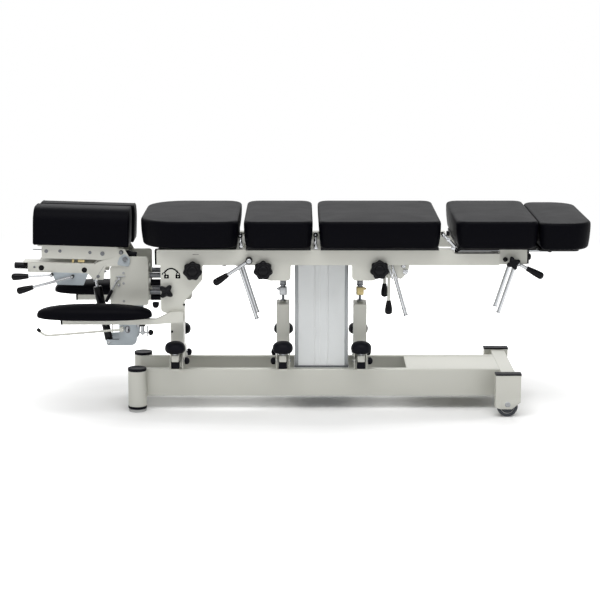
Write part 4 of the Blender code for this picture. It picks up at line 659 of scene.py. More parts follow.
def grip(start, end, neck, wide):
    """A moulded grip: a collar, then a radius that swells as a sine to its widest, and a round tip."""
    long = np.linalg.norm(end - start)
    tip = wide * 0.8
    share = np.linspace(0, 1, 14)
    swell = neck + (wide - neck) * np.sin(share * np.pi / 2) ** 1.1
    q = np.linspace(0, np.pi / 2, 7)[1:]
    along = np.concatenate([[0, 0], share * (long - tip), long - tip + tip * np.sin(q)])
    along[2] = 0.0008
    radius = np.concatenate([[0, neck * 0.8], swell, wide * np.cos(q)])
    return turned(start, end - start, list(zip(along, radius)), 28)


class DROPTABLE_OT_hand_levers(bpy.types.Operator):
    """Make the hand levers with their rods, hubs and grips"""

    bl_idname = "droptable.hand_levers"
    bl_label = "Hand levers"

    def execute(self, context):
        wide = context.scene.table_controls.grip_radius
        # Name, pivot, tip, face; then the hub's length and radius, the rod's radius and the grip's length
        for name, (x, z), (tip_x, tip_z), face, hub_long, hub_radius, rod_radius, long in (
            ("lumbar_lever", (-0.180, 0.5695), (-0.305, 0.487), -0.2203, 0.028, 0.0125, 0.0062, 0.060),
            ("foot_lever", (0.772, 0.556), (0.8615, 0.508), HOUSING_FACE, 0.030, 0.009, 0.0056, 0.068),
            ("head_tilt_lever", (-0.892, 0.489), (-1.0365, 0.4778), LEVER_FACE, 0.026, 0.006, 0.0042, 0.062),
            ("head_width_lever", (-0.8173, 0.485), (-1.017, 0.4254), LEVER_FACE, 0.026, 0.006, 0.0050, 0.062),
        ):
            middle = face - hub_long * 0.62
            start, end = spot(x, middle, z), spot(tip_x, middle, tip_z)
            along = unit(end - start)
            heel = end - along * long
            stem = rod(start, heel + along * 0.004, rod_radius)
            cap = lathe(spot(x, face - hub_long, z), NEAR, [
                (0, hub_radius * 0.72), (0.0015, hub_radius * 0.6), (0.0026, hub_radius * 0.3), (0.0028, 0),
            ])
            hub = rivet(spot(x, face, z), hub_radius, hub_long * 0.85, hub_long, hub_radius * 0.8, 28)
            shells = [stem, cap, hub, grip(heel, end, wide * 0.64, wide)]
            if face == LEVER_FACE:
                shells = [lean(s) for s in shells]
            piece(name + "_rod", shells[:1], chrome_plate, name)
            piece(name + "_cap", shells[1:2], zinc_plate, name)
            piece(name + "_grip", shells[2:], moulded_black, name, (name,))
        self.release_levers(wide * 1.05)
        tip = lathe(spot(-1.031, -0.075, 0.5135), FOOTWARDS, [
            (0, 0.0095), (0.0012, 0.0114), (0.004, 0.0118), (0.050, 0.0118), (0.0555, 0.0114),
            (0.0567, 0.0095), (0.0567, 0.004), (0.064, 0.004),
        ], 32)
        piece("head_tension_grip_moulding", [lean(tip)], moulded_black, "head_crank", ("head_tension_grip",))
        return {"FINISHED"}

    @staticmethod
    def release_levers(wide):
        """The pair of pelvic release levers that hang from one shaft, with a grip each."""
        x, z, long = 0.3175, 0.505, 0.143
        rods, grips = [rod(spot(x, -0.173, z), spot(x, 0.173, z), 0.005)], []
        for y in about(0, 0.165):
            foot = spot(x, y, z - long)
            rods.append(rod(spot(x, y, z + 0.006), foot + np.array((0, 0, 0.044)), 0.0048, tip=0.0060))
            grips.append(grip(foot + np.array((0, 0, 0.052)), foot, 0.0078, wide))
        piece("release_levers_rods", rods, powder_coat, "release_levers")
        piece("release_levers_grips", grips, moulded_black, "release_levers", ("pelvic_release_levers",))


class DROPTABLE_OT_cocking_levers(bpy.types.Operator):
    """Make the three pairs of chromed cocking rods"""

    bl_idname = "droptable.cocking_levers"
    bl_label = "Cocking levers"

    def execute(self, context):
        for label, ((x, z), (tip_x, tip_z)) in COCKING.items():
            shells = [rod(spot(x, -0.070, z), spot(x, 0.070, z), 0.006)]
            for side in SIDES.values():
                start, end = spot(x, side * 0.060, z), spot(tip_x, side * 0.060, tip_z)
                d = unit(end - start)
                shells += [
                    rod(start - d * 0.007, end, 0.007),
                    rod(end - d * 0.0035, end + d * 0.001, 0.0088),
                    rod(start + d * 0.018, start + d * 0.024, 0.0080),
                    lathe(spot(x, side * 0.069, z), (0, side, 0), [
                        (0, 0.0075), (0.002, 0.0078), (0.0055, 0.0052), (0.0062, 0),
                    ], 24),
                ]
            lever = "cocking_lever_" + label
            piece("cocking_rods_" + label, shells, chrome_plate, lever, (lever,))
        return {"FINISHED"}


# Pedals and push rods


class DROPTABLE_OT_pedals(bpy.types.Operator):
    """Make the six foot pedals"""

    bl_idname = "droptable.pedals"
    bl_label = "Pedals"

    def execute(self, context):
        for section, (x, way) in TOWERS.items():
            for label, side in SIDES.items():
                name = "foot_pedal_" + section + "_" + label
                body = "pedal_" + section + "_" + label
                pin_y, pad_y, pin_z, knob_x = side * 0.075, side * 0.170, 0.171, 0.0285
                # The bar, the toe that lifts the pad, and the lip beneath
                arm = [
                    block(about(x, 0.0165), reach(side, 0.012, 0.152), (0.1665, 0.1765), 0.0015),
                    block(about(x, 0.0130), reach(side, 0.152, 0.184), (0.1905, 0.2150), 0.002),
                    block(about(x, 0.0150), reach(side, 0.148, 0.178), (0.1570, 0.1635), 0.001),
                ]
                piece(name + "_arm", arm, powder_coat, body)
                pin = rod(spot(x - way * knob_x, pin_y, pin_z), spot(x + way * 0.030, pin_y, pin_z), 0.004)
                neck = rod(spot(x, pad_y, 0.210), spot(x, pad_y, 0.224), 0.0095)
                piece(name + "_pin", [pin, neck], zinc_plate, body)
                pad = lathe(spot(x, pad_y, 0.222), UP, [
                    (0, 0.0255), (0.0012, 0.0290), (0.006, 0.0342), (0.0115, 0.0364), (0.017, 0.0370),
                    (0.0235, 0.0364), (0.0300, 0.0340), (0.0355, 0.0292), (0.0395, 0.0220), (0.0418, 0.0125),
                    (0.0426, 0.004), (0.0427, 0),
                ], 48)
                stop = block(about(x, 0.0150), reach(side, 0.1505, 0.1765), (0.1640, 0.1900), 0.002)
                knob = lathe(spot(x + way * knob_x, pin_y, pin_z), (way, 0, 0), [
                    (0, 0.0118), (0.001, 0.0130), (0.006, 0.0136), (0.011, 0.0125), (0.0145, 0.0095),
                    (0.0166, 0.0050), (0.0172, 0),
                ], 32)
                piece(name + "_pad", [pad, knob, stop], black_rubber, body, (name,), crease=60)
        return {"FINISHED"}


class DROPTABLE_OT_push_rods(bpy.types.Operator):
    """Make the three push rods over the pedal towers"""

    bl_idname = "droptable.push_rods"
    bl_label = "Push rods"

    def execute(self, context):
        low, high, pitch, pin_z = 0.455, 0.5520, 0.00175, 0.425
        for section, (x, way) in TOWERS.items():
            name = "push_rod_" + section
            thread = np.linspace(low, high, 180)
            wave = 0.0084 + 0.0006 * np.cos((thread - low) * 2 * np.pi / pitch)
            stud = turned(spot(x, 0, low), UP, [(0, 0), *zip(thread - low, wave), (0.0970, 0)], 24)
            # From the foot up: rod, collar, neck, washer, nut and lock nut, with the stud through them
            steel = [
                rod(spot(x, 0, 0.190), spot(x, 0, 0.405), 0.0055),
                drum(spot(x, 0, 0.3820), UP, 0.0105, 0.0025),
                rod(spot(x, 0, 0.432), spot(x, 0, 0.440), 0.0085),
                drum(spot(x, 0, 0.4390), UP, 0.013, 0.003, 36),
                lathe(spot(x, 0, 0.4420), UP, [
                    (0, 0.0098), (0.0008, 0.0112), (0.0122, 0.0112), (0.013, 0.0098),
                ], 6),
                drum(spot(x, 0, 0.5440), UP, 0.0112, 0.0086, 6),
                stud,
            ]
            piece(name + "_steel", steel, burnished_steel, "top_frame", crease=30)
            clamp = slab(oblong(*about(x, 0.0140), *about(0, 0.0145), 0.005), "Z", 0.4035, 0.4325, 0.0012)
            pin = rod(spot(x, 0, pin_z), spot(x + way * 0.0235, 0, pin_z), 0.0038)
            nut = drum(spot(x + way * 0.0150, 0, pin_z), (way, 0, 0), 0.0058, 0.0035, 6)
            look = yellow_zinc if section == "pelvic" else zinc_plate
            piece(name + "_clamp", [clamp, pin, nut], look, "top_frame", (name,), crease=30)
        return {"FINISHED"}


# Base


class DROPTABLE_OT_base(bpy.types.Operator):
    """Make the base beams with their feet, and the castors"""

    bl_idname = "droptable.base"
    bl_label = "Base"

    def execute(self, context):
        edge = context.scene.table_metalwork.edge
        for label, side in SIDES.items():
            self.foot(label, side, edge)
            self.castor(label, side)
        return {"FINISHED"}

    @staticmethod
    def foot(label, side, edge):
        """A base beam with its foot column, and the column's cap, lower disc and rubber ring.

        The far beam carries the tube that crosses under the head end.
        """
        y, steps = side * 0.1365, 56
        ring_z, column_z, cap_z = 0.0102, 0.020, 0.1495
        tube = slab(oblong(*reach(side, 0.095, 0.120), 0.050, 0.151, edge, 5), "X", FOOT_X, 0.7244, 0.0004)
        column = lathe(spot(FOOT_X, y, column_z), UP, [(0, 0.0325), (0.0007, 0.0332), (0.134, 0.0332)], steps)
        crossing = [block((-0.615, -0.565), (-0.0945, 0.130), (0.054, 0.104), 0.003)] if side > 0 else []
        piece("base_tube_" + label, [tube, column, *crossing], powder_coat, "base", ("base_beam_" + label,))
        cap = lathe(spot(FOOT_X, y, cap_z), UP, [
            (0, 0.0330), (0.0006, 0.0337), (0.0085, 0.0340), (0.0100, 0.0332), (0.0108, 0.0300),
            (0.0100, 0.0270),
        ], steps)
        piece("foot_cap_" + label, [cap], black_rubber, "base")
        disc = lathe(spot(FOOT_X, y, 0), UP, [
            (0, 0.0312), (0.0012, 0.0325), (0.0075, 0.0325), (0.0090, 0.0315), (0.0100, 0.0290),
        ], steps)
        piece("foot_glide_disc_" + label, [disc], glide_nylon, "base")
        ring = lathe(spot(FOOT_X, y, ring_z), UP, [
            (0, 0.0300), (0.0010, 0.0332), (0.0020, 0.0340), (0.0088, 0.0340), (0.0095, 0.0332),
        ], steps)
        piece("foot_glide_ring_" + label, [ring], black_rubber, "base", ("foot_glide_" + label,))

    @staticmethod
    def castor(label, side):
        """A castor's tread and core, its housing's lid and lower corner, and the axle's bolt."""
        wheel, radius, half_wide, steps = "wheel_" + label, 0.0375, 0.012, 64
        start = spot(CASTOR_X, side * 0.218 - half_wide, radius)
        tread = turned(start, FAR, [
            (0.0030, 0.0255), (0.0008, 0.0262), (0, 0.0280), (0, 0.0325), (0.0012, 0.0350), (0.0035, 0.0368),
            (0.0070, 0.0375), (0.0170, 0.0375), (0.0205, 0.0368), (0.0228, 0.0350), (0.0240, 0.0325),
            (0.0240, 0.0280), (0.0232, 0.0262), (0.0210, 0.0255), (0.0210, 0.0250), (0.0030, 0.0250),
            (0.0030, 0.0255),
        ], steps)
        core = turned(start, FAR, [
            (0, 0.0045), (0, 0.0095), (0.0012, 0.0100), (0.0034, 0.0105), (0.0034, 0.0230), (0.0020, 0.0252),
            (0.0220, 0.0252), (0.0206, 0.0230), (0.0206, 0.0105), (0.0228, 0.0100), (0.0240, 0.0095),
            (0.0240, 0.0045), (0, 0.0045),
        ], steps)
        piece("castor_tread_" + label, [tread], castor_tread, wheel)
        piece("castor_core_" + label, [core], glide_nylon, wheel, ("castor_wheel_" + label,))
        lid = slab(oblong(0.6983, 0.7917, *reach(side, 0.1972, 0.2388), 0.003), "Z", 0.1530, 0.1585, 0.0012)
        piece("castor_lid_" + label, [lid], black_rubber, "base")
        front, back, low, high = 0.7180, 0.7899, 0.0300, 0.0640
        cheek = rounded([
            (front, low, 0), (0.7590, low), (back, 0.0555), (back, high, 0), (front, high, 0),
        ], 0.003)
        walls = [
            slab(cheek, "Y", *reach(side, *ends), 0.0002) for ends in ((0.2334, 0.2372), (0.1988, 0.2026))
        ]
        piece("castor_cheek_" + label, walls, powder_coat, "base")
        bolt = lathe(spot(0.7437, side * 0.2370, 0.0470), (0, side, 0), [
            (0, 0.0100), (0.0010, 0.0102), (0.0026, 0.0082), (0.0026, 0.0050), (0.0012, 0.0046),
        ])
        piece("castor_bolt_" + label, [bolt], zinc_plate, "base", crease=40)


class DROPTABLE_OT_leg_slide(bpy.types.Operator):
    """Make the leg section's board, lugs and chromed slide rods"""

    bl_idname = "droptable.leg_slide"
    bl_label = "Leg slide"

    def execute(self, context):
        half, thick, rod_z = 0.235, 0.0076, 0.5985
        boards = [
            slab(oblong(x0, x1, -half, half, 0.02), "Z", low, low + thick, 0.001)
            for x0, x1, low in ((0.556, 0.837, 0.6087), (0.8415, 0.985, 0.6028))
        ]
        lugs, rods = [], []
        for y in about(0, 0.188):
            rods.append(rod(spot(0.552, y, rod_z), spot(0.889, y, rod_z), 0.0045))
            for x in (0.549, 0.880):
                lugs.append(block((x, x + 0.012), about(y, 0.010), (0.5935, 0.6090), 0.0015))
        piece("leg_board", boards + lugs, black_laminate, "leg_section", ("leg_carriage",))
        piece("leg_slide_rods", rods, chrome_plate, "leg_section")
        return {"FINISHED"}


# Head rest


def cap_screw(at, direction, radius, high):
    """A socket cap screw: a short drum with a bevelled rim and a socket in its end."""
    return lathe(at, direction, [
        (0, radius), (high * 0.8, radius), (high, radius * 0.82), (high, radius * 0.5),
        (high * 0.45, radius * 0.46),
    ], 24)


class DROPTABLE_OT_head_carrier(bpy.types.Operator):
    """Make the head rest's carrier, with its plates, lower bracket and slide tubes"""

    bl_idname = "droptable.head_carrier"
    bl_label = "Head carrier"

    def execute(self, context):
        head, neck, foot, low, high = -0.686, -0.660, -0.548, 0.381, 0.560
        outline = rounded([
            (head, low), (foot, low), (foot, high), (neck, high), (neck, 0.532), (head, 0.520),
        ], 0.010)
        lower = rounded([
            (-0.660, 0.388), (-0.660, 0.2504), (-0.708, 0.2474), (-0.708, 0.2244, 0.010),
            (-0.5975, 0.2244, 0.026), (-0.5935, 0.2700), (-0.5790, 0.3010), (-0.5790, 0.388),
        ], 0.006)
        slot = oblong(-0.6382, -0.6196, 0.2710, 0.2990, 0.0090)
        plates, bracket, tubes, screws, bushes = [], [], [], [], []
        for side in SIDES.values():
            plates.append(slab(outline, "Y", *reach(side, 0.088, 0.092), 0.0006))
            bracket.append(slab(lower, "Y", *reach(side, 0.057, 0.060), 0.0005))
            y = side * 0.055
            for z in (0.423, 0.485):
                tubes.append(rod(spot(-0.556, y, z), spot(-0.412, y, z), 0.0095))
                plates.append(rod(spot(-0.553, y, z), spot(-0.546, y, z), 0.0135))
            for z in (0.500, 0.462, 0.396):
                screws.append(cap_screw(spot(-0.6375, side * 0.0918, z), (0, side, 0), 0.0045, 0.0018))
            tubes.append(slab(slot, "Y", *reach(side, 0.0596, 0.0604), 0.0002))
            screws.append(block((-0.6345, -0.6285), reach(side, 0.0600, 0.0612), (0.2760, 0.2950), 0.0004))
            bushes.append(block((-0.6270, -0.6225), reach(side, 0.0600, 0.0610), (0.2770, 0.2880), 0.0004))
            screws.append(lathe(spot(STRUT_FOOT[0], side * 0.0598, STRUT_FOOT[1]), (0, side, 0), [
                (0, 0.0062), (0.002, 0.0060), (0.0034, 0.0042), (0.0036, 0),
            ], 24))
        # Painted shade: a thin black strip along the top of the lower bracket's arm stands for the shadow
        # inside the bracket's fold
        bushes.append(block((-0.7020, -0.6605), (-0.0612, -0.0599), (0.2474, 0.2502), 0.0003))
        plates.append(block((-0.557, -0.553), about(0, 0.0885), (0.400, 0.512), 0.0006))
        plates.append(block((-0.664, -0.588), about(0, 0.0885), (0.385, 0.389), 0.0006))
        for (x, z), half, radius in ((TILT_AT, 0.103, 0.006), (STRUT_FOOT, 0.0585, 0.004)):
            tubes.append(rod(spot(x, -half, z), spot(x, half, z), radius))
        piece("head_carrier_plates", plates, powder_coat, "head_slide", ("head_carrier",))
        piece("head_lower_bracket", bracket, blue_grey_coat, "head_slide")
        piece("head_slide_tubes", tubes, burnished_steel, "head_slide")
        piece("head_carrier_screws", screws, zinc_plate, "head_slide")
        piece("head_bracket_bush_and_shade_line", bushes, moulded_black, "head_slide")
        self.plunger()
        return {"FINISHED"}

    @staticmethod
    def plunger():
        """The spring plunger behind the lower bracket, its stop plate, the stay and the rubber buffers."""
        y, z, top, stop_x, post_x, pin_x = -0.0620, 0.2740, 0.2990, -0.5905, -0.5740, -0.5560
        steel = [
            rod(spot(stop_x, y, 0.2960), spot(stop_x, y, 0.3060), 0.0065),
            rod(spot(post_x, y, 0.2680), spot(post_x, y, top), 0.0062),
            rivet(spot(post_x, y + 0.004, z), 0.0085, 0.009, 0.010, 0.006, 28),
            rod(spot(-0.5860, y, z), spot(-0.5440, y, z), 0.0030),
            rod(spot(pin_x, y, 0.2590), spot(pin_x, y, top), 0.0024),
        ]
        piece("head_plunger", steel, zinc_plate, "head_slide", crease=30)
        ball = lathe(spot(-0.5520, y, z), FOOTWARDS, [
            (0, 0.0058), (0.002, 0.0092), (0.006, 0.0110), (0.010, 0.0106), (0.0145, 0.0078), (0.017, 0.0036),
            (0.0174, 0),
        ], 32)
        foot = block((-0.5850, -0.5640), about(y, 0.006), (0.2975, 0.3035), 0.0012)
        piece("head_plunger_ball", [ball, foot], moulded_black, "head_slide")
        stay = rod(spot(-0.6845, -0.0560, 0.2720), spot(-0.6845, -0.0560, 0.3840), 0.0018)
        piece("head_stay", [stay], powder_coat, "head_slide")
        buffers = [
            *(rod(spot(-0.5440, -0.030, z), spot(-0.5060, -0.030, z), 0.0120) for z in (0.4540, 0.4000)),
            lathe(spot(-0.5250, -0.0600, 0.3860), DOWN, [
                (0, 0.0120), (0.008, 0.0124), (0.016, 0.0105), (0.0205, 0.0060), (0.0216, 0),
            ], 32),
            lathe(spot(-0.5900, -0.0700, 0.5640), (-1, 0, 0.12), [
                (0, 0.0085), (0.012, 0.0105), (0.036, 0.0110), (0.050, 0.0080), (0.053, 0),
            ], 32),
        ]
        piece("head_buffers", buffers, black_rubber, "head_slide")


class DROPTABLE_OT_head_rest(bpy.types.Operator):
    """Make the trim of the head rest's beam and deck, the strut and the release bar"""

    bl_idname = "droptable.head_rest"
    bl_label = "Head rest"

    def execute(self, context):
        self.beam()
        self.strut()
        self.release_bar()
        return {"FINISHED"}

    @staticmethod
    def beam():
        """The beam's lever plate and lug, its bushes, screws and latch, and the deck's screws."""
        cover = rounded([(-0.8947, 0.4965), (-0.8737, 0.452), (-0.7784, 0.452), (-0.7613, 0.4965)], 0.004)
        ear = rounded([
            (-0.660, 0.530), (-0.614, 0.524), (-0.612, 0.556), (-0.632, 0.572), (-0.650, 0.558),
        ], 0.008)
        plates = [slab(cover, "Y", -0.1024, -0.1012, 0.0004), slab(ear, "Y", -0.1012, BEAM_FACE, 0.0004)]
        piece("head_lever_plate", [lean(s) for s in plates], blue_grey_coat, "head_tilt")
        bore = [(0, 0.0098), (0.0016, 0.0098), (0.0016, 0.006), (0.0004, 0.0056)]
        bushes = [lathe(spot(x, BEAM_FACE, z), NEAR, bore) for x, z in ((-0.931, 0.5115), (-0.776, 0.5080))]
        piece("head_beam_bushes", [lean(s) for s in bushes], moulded_black, "head_tilt")
        screws = [
            cap_screw(spot(x, BEAM_FACE, z), NEAR, r, 0.003)
            for x, z, r in ((-0.726, 0.486, 0.006), (-0.700, 0.505, 0.004), (-0.956, 0.514, 0.004))
        ]
        pivot = lathe(spot(TILT_AT[0], -0.1030, TILT_AT[1]), NEAR, [
            (0, 0.0088), (0.001, 0.0092), (0.0035, 0.0088), (0.0045, 0.0065), (0.0045, 0.003),
            (0.003, 0.0028),
        ])
        piece("head_beam_screws", [lean(s) for s in screws] + [pivot], burnished_steel, "head_tilt")
        latch = [
            block((-0.8010, -0.7760), (-0.0960, -0.0900), (0.5350, 0.5440), 0.0010),
            rod(spot(-0.8180, -0.0930, 0.5450), spot(-0.8180, -0.0930, 0.5330), 0.0045),
        ]
        piece("head_latch", [lean(s) for s in latch], yellow_zinc, "head_tilt")
        heads = (
            (-0.914, 0.572, 0.0068), (-0.865, 0.574, 0.0058), (-0.757, 0.572, 0.006), (-0.712, 0.569, 0.0078),
        )
        deck = [cap_screw(spot(x, -0.0955, z), NEAR, r, 0.0025) for x, z, r in heads]
        deck.append(rod(spot(-0.9640, -0.0880, 0.5760), spot(-0.9320, -0.0880, 0.5760), 0.0016))
        pin = ((0, 0.0075), (0.003, 0.0078), (0.0055, 0.0055))
        deck.append(lathe(spot(-0.6444, -0.1015, 0.5766), NEAR, pin))
        piece("head_deck_screws", [lean(s) for s in deck], burnished_steel, "head_drop")

    @staticmethod
    def strut():
        """The gas strut with its eyes and sleeve, and the hooked link and thin rod beside it."""
        foot, eye = (spot(x, -0.035, z) for x, z in (STRUT_FOOT, STRUT_EYE))
        d = unit(eye - foot)
        back = np.array((0, 0.005, 0))
        barrel = lathe(foot + d * 0.006, d, [
            (0, 0.0125), (0.0015, 0.0142), (0.004, 0.0145), (0.143, 0.0145), (0.147, 0.0140), (0.150, 0.0120),
            (0.150, 0.0054), (0.146, 0.0052),
        ], 40)
        foot_eye = drum(foot + back, NEAR, 0.008, 0.010)
        piece("head_strut_barrel", [barrel, foot_eye], moulded_black, "strut_swing", ("head_strut_cylinder",))
        hook = [spot(x, -0.1000, z) for x, z in ((-0.6529, 0.4860), (-0.6791, 0.4389), (-0.7017, 0.3948))]
        links = [
            rod(hook[0], hook[1], 0.0028),
            rod(spot(-0.6640, -0.0960, 0.4870), spot(-0.6300, -0.0960, 0.4890), 0.0022),
        ]
        for x, z, r in ((-0.6529, 0.4800, 0.0058), (-0.6545, 0.4560, 0.0048), (-0.6640, 0.4700, 0.0038)):
            links.append(rivet(spot(x, -0.0945, z), r, 0.006, 0.0075, r * 0.7))
        piece("head_hook_link", links, zinc_plate, "head_slide")
        piece("head_hook_tip", [rod(hook[1], hook[2], 0.0062, rim=0.003)], moulded_black, "head_slide")
        wire_y = -0.0985
        wire = rod(spot(-0.7446, wire_y, 0.4701), spot(-0.7073, wire_y, 0.5252), 0.0016)
        piece("head_strut_wire", [wire], burnished_steel, "head_tilt")
        stem = rod(foot + d * 0.098, eye, 0.005)
        top_eye = lathe(eye + back, NEAR, [(0, 0.0072), (0.0006, 0.008), (0.0094, 0.008), (0.010, 0.0072)])
        piece("head_strut_stem", [stem, top_eye], chrome_plate, "strut_reach", ("head_strut_rod",))
        sleeve = turned(foot + d * 0.124, d, [
            (0, 0.0150), (0, 0.0160), (0.078, 0.0160), (0.084, 0.0140), (0.084, 0.0056), (0.080, 0.0056),
            (0.078, 0.0135), (0.072, 0.0150), (0, 0.0150),
        ], 40)
        piece("head_strut_sleeve", [sleeve], moulded_black, "strut_reach")

    @staticmethod
    def release_bar():
        """The bent bar: a straight run, a bend that is a parabola between its two sides, and a black tip."""
        x, y, z, bend = -0.650, -0.079, 0.288, 0.018
        root, corner, tip = spot(x, y, z), spot(-0.9300, y, 0.2650), spot(-0.9510, y, 0.2860)
        out = unit(tip - corner)
        before, after = corner + unit(root - corner) * bend, corner + out * bend
        s = np.linspace(0, 1, 14)[:, None]
        curve = before * (1 - s) ** 2 + corner * 2 * s * (1 - s) + after * s ** 2
        straight = root + (before - root) * np.linspace(0, 1, 12)[:-1, None]
        bar = sweep(np.concatenate([straight, curve, tip[None, :]]), 0.0042, 18)
        hub = rod(spot(x, -0.0603, z), spot(x, -0.0826, z), 0.009)
        piece("head_release_rod", [bar, hub], powder_coat, "bent_bar", ("head_release_bar",))
        end = lathe(tip - out * 0.008, out, [
            (0, 0.0055), (0.001, 0.0065), (0.013, 0.0065), (0.0155, 0.0052), (0.016, 0),
        ])
        piece("head_release_tip", [end], moulded_black, "bent_bar")


# Frame trim


class DROPTABLE_OT_frame_trim(bpy.types.Operator):
    """Make end caps, screws, padlock signs, column strips and the small hinges between cushions"""

    bl_idname = "droptable.frame_trim"
    bl_label = "Frame trim"

    def execute(self, context):
        black = []
        for label, side in SIDES.items():
            black.append(block((-0.5140, -0.5065), reach(side, 0.181, 0.2195), (0.5520, 0.6045), 0.0012))
            black.append(lathe(spot(-0.2685, side * 0.200, 0.5515), DOWN, [
                (0, 0.0100), (0.003, 0.0098), (0.0055, 0.0070), (0.0062, 0),
            ]))
            cap = block((-0.8500, -0.8420), reach(side, 0.2194, 0.2404), (0.3394, 0.3604), 0.001)
            piece("armrest_cap_" + label, [cap], moulded_black, "armrest_" + label)
        black += [
            block((0.8045, 0.8118), about(0, 0.1995), (0.5525, 0.6040), 0.0012),
            lathe(spot(0.8115, -0.178, 0.5745), FOOTWARDS, [
                (0, 0.0118), (0.003, 0.0124), (0.0065, 0.0110), (0.0095, 0.0070), (0.0103, 0),
            ], 32),
            lathe(spot(0.7275, -0.2000, 0.5684), NEAR, [
                (0, 0.0085), (0.004, 0.0088), (0.008, 0.0075), (0.0095, 0.0040), (0.0096, 0),
            ]),
            block((-0.3794, -0.3576), (-0.2201, -0.2190), (0.5888, 0.5903), 0.0002),
        ]
        gusset_bolt, tower_bolt = (
            rivet(spot(*at), 0.0042, 0.003, 0.0045, 0.003, 20)
            for at in ((-0.4108, -0.2190, 0.4085), (-0.4680, -0.0495, 0.2745))
        )
        piece("rail_end_caps", black + [gusset_bolt], moulded_black, "top_frame")
        piece("tower_bolt", [tower_bolt], moulded_black, "base")
        self.signs()
        self.column()
        self.hinges()
        self.release_lug()
        return {"FINISHED"}

    @staticmethod
    def signs():
        """Two plain padlocks, one open and one shut, under an arc with arrow heads, on the near gusset."""
        shells, holes = [], []
        y, middle = (-0.2200, -0.2195), -0.4560

        def band(x, z, angles, outer, inner):
            """Part of a ring round a place, between two ellipses of (half width, half height)."""
            arcs = [
                np.stack([x + wide * np.cos(t), z + high * np.sin(t)], 1)
                for t, (wide, high) in ((angles, outer), (angles[::-1], inner))
            ]
            return slab(np.concatenate(arcs), "Y", *y, 0.0001)

        for x, shift in ((-0.4728, -0.0090), (-0.4322, 0.0)):
            shells.append(slab(oblong(*about(x, 0.0086), 0.5030, 0.5170, 0.0020), "Y", *y, 0.0001))
            holes.append(drum(spot(x, RAIL_FACE, 0.5100), NEAR, 0.0024, 0.0003, 20))
            half_turn = np.linspace(0, np.pi, 13)
            shells.append(band(x + shift, 0.5165, half_turn, (0.0076, 0.0092), (0.0040, 0.0056)))
        angles = np.linspace(math.radians(150), math.radians(30), 25)
        shells.append(band(middle, 0.5150, angles, (0.0266, 0.0266), (0.0214, 0.0214)))
        corners = ((0.0262, 0.5225), (0.0165, 0.5270), (0.0225, 0.5330))
        for way in (-1, 1):
            shells.append(slab([(middle + way * wide, z) for wide, z in corners], "Y", *y, 0.0001))
        piece("padlock_signs", shells, printed_black, "top_frame")
        piece("padlock_keyholes", holes, powder_coat, "top_frame")

    @staticmethod
    def column():
        """Machined strips in the column's corner recesses, thin near-white strips down its faces as painted
        highlight lines, and a dark strip at its foot as painted shade.
        """
        strips, highlight_lines = [], []
        middle, height = 0.078, (0.1505, 0.5445)
        for side in SIDES.values():
            for edge in (-1, 1):
                a, b = reach(edge, 0.0845, 0.0965)
                strips.append(block((middle + a, middle + b), reach(side, 0.0850, 0.0868), height, 0.0004))
            # Painted highlights: thin strips in near-white paint stand for bright lines of light on the
            # column's faces
            for x in (0.0538, 0.0727, 0.1003):
                highlight_lines.append(block(about(x, 0.0009), reach(side, 0.0860, 0.0888), height, 0.0003))
        piece("column_corner_strips", strips, column_edge, "base")
        piece("column_highlight_lines", highlight_lines, painted_highlight, "base")
        # Painted shade: a dark steel strip round the column's foot stands for the shaded joint between column
        # and beam
        foot_shade_strip = block((-0.0205, 0.1765), about(0, 0.0908), (0.1507, 0.1572), 0.0008)
        piece("column_foot_shade_strip", [foot_shade_strip], burnished_steel, "base")

    @staticmethod
    def hinges():
        """The small fittings that join the boards in the gaps between the cushions, at the near side."""
        y = -0.2185
        for name, (x, z), (fx, fz) in (
            ("chest", (-0.2105, 0.6570), (-0.2068, 0.6200)),
            ("lumbar", (0.0545, 0.6600), (0.0566, 0.6150)),
        ):
            ring = lathe(spot(x, y, z), NEAR, [
                (0, 0.0074), (0.0008, 0.0084), (0.0080, 0.0084), (0.0090, 0.0074), (0.0090, 0.0044),
                (0.006, 0.0041),
            ])
            back = block((fx - 0.0085, fx + 0.0010), (y + 0.001, y + 0.006), (0.6100, 0.6440), 0.001)
            piece("board_ring_" + name, [ring, back], moulded_black, name + "_section")
            shells = [rod(spot(x + 0.001, y - 0.003, z - 0.006), spot(fx, y - 0.003, fz), 0.0046)]
            for px, pz, r in ((fx, fz, 0.0062), (fx - 0.0035, fz + 0.016, 0.0050), (x, z, 0.0040)):
                shells.append(rivet(spot(px, y, pz), r, 0.007, 0.0085, r * 0.6))
            piece("board_link_" + name, shells, chrome_plate, name + "_section")
        knee = [spot(x, y - 0.004, z) for x, z in ((0.5020, 0.6640), (0.5257, 0.6400), (0.5480, 0.6160))]
        shells = [rod(knee[0], knee[1], 0.0055), rod(knee[1], knee[2], 0.0062)]
        for x, z, r in ((0.5402, 0.6135, 0.0075), (0.5230, 0.6430, 0.0066), (0.5060, 0.6560, 0.0050)):
            shells.append(rivet(spot(x, y, z), r, 0.009, 0.0105, r * 0.6))
        piece("board_link_pelvic", shells, chrome_plate, "pelvic_section")
        boss = rivet(spot(0.5575, y, 0.6075), 0.0070, 0.009, 0.0105, 0.0050)
        pad = block((0.4975, 0.5060), (y - 0.001, y + 0.006), (0.6580, 0.6700), 0.0015)
        piece("board_boss_leg", [boss], moulded_black, "leg_section")
        piece("board_pad_pelvic", [pad], moulded_black, "pelvic_section")

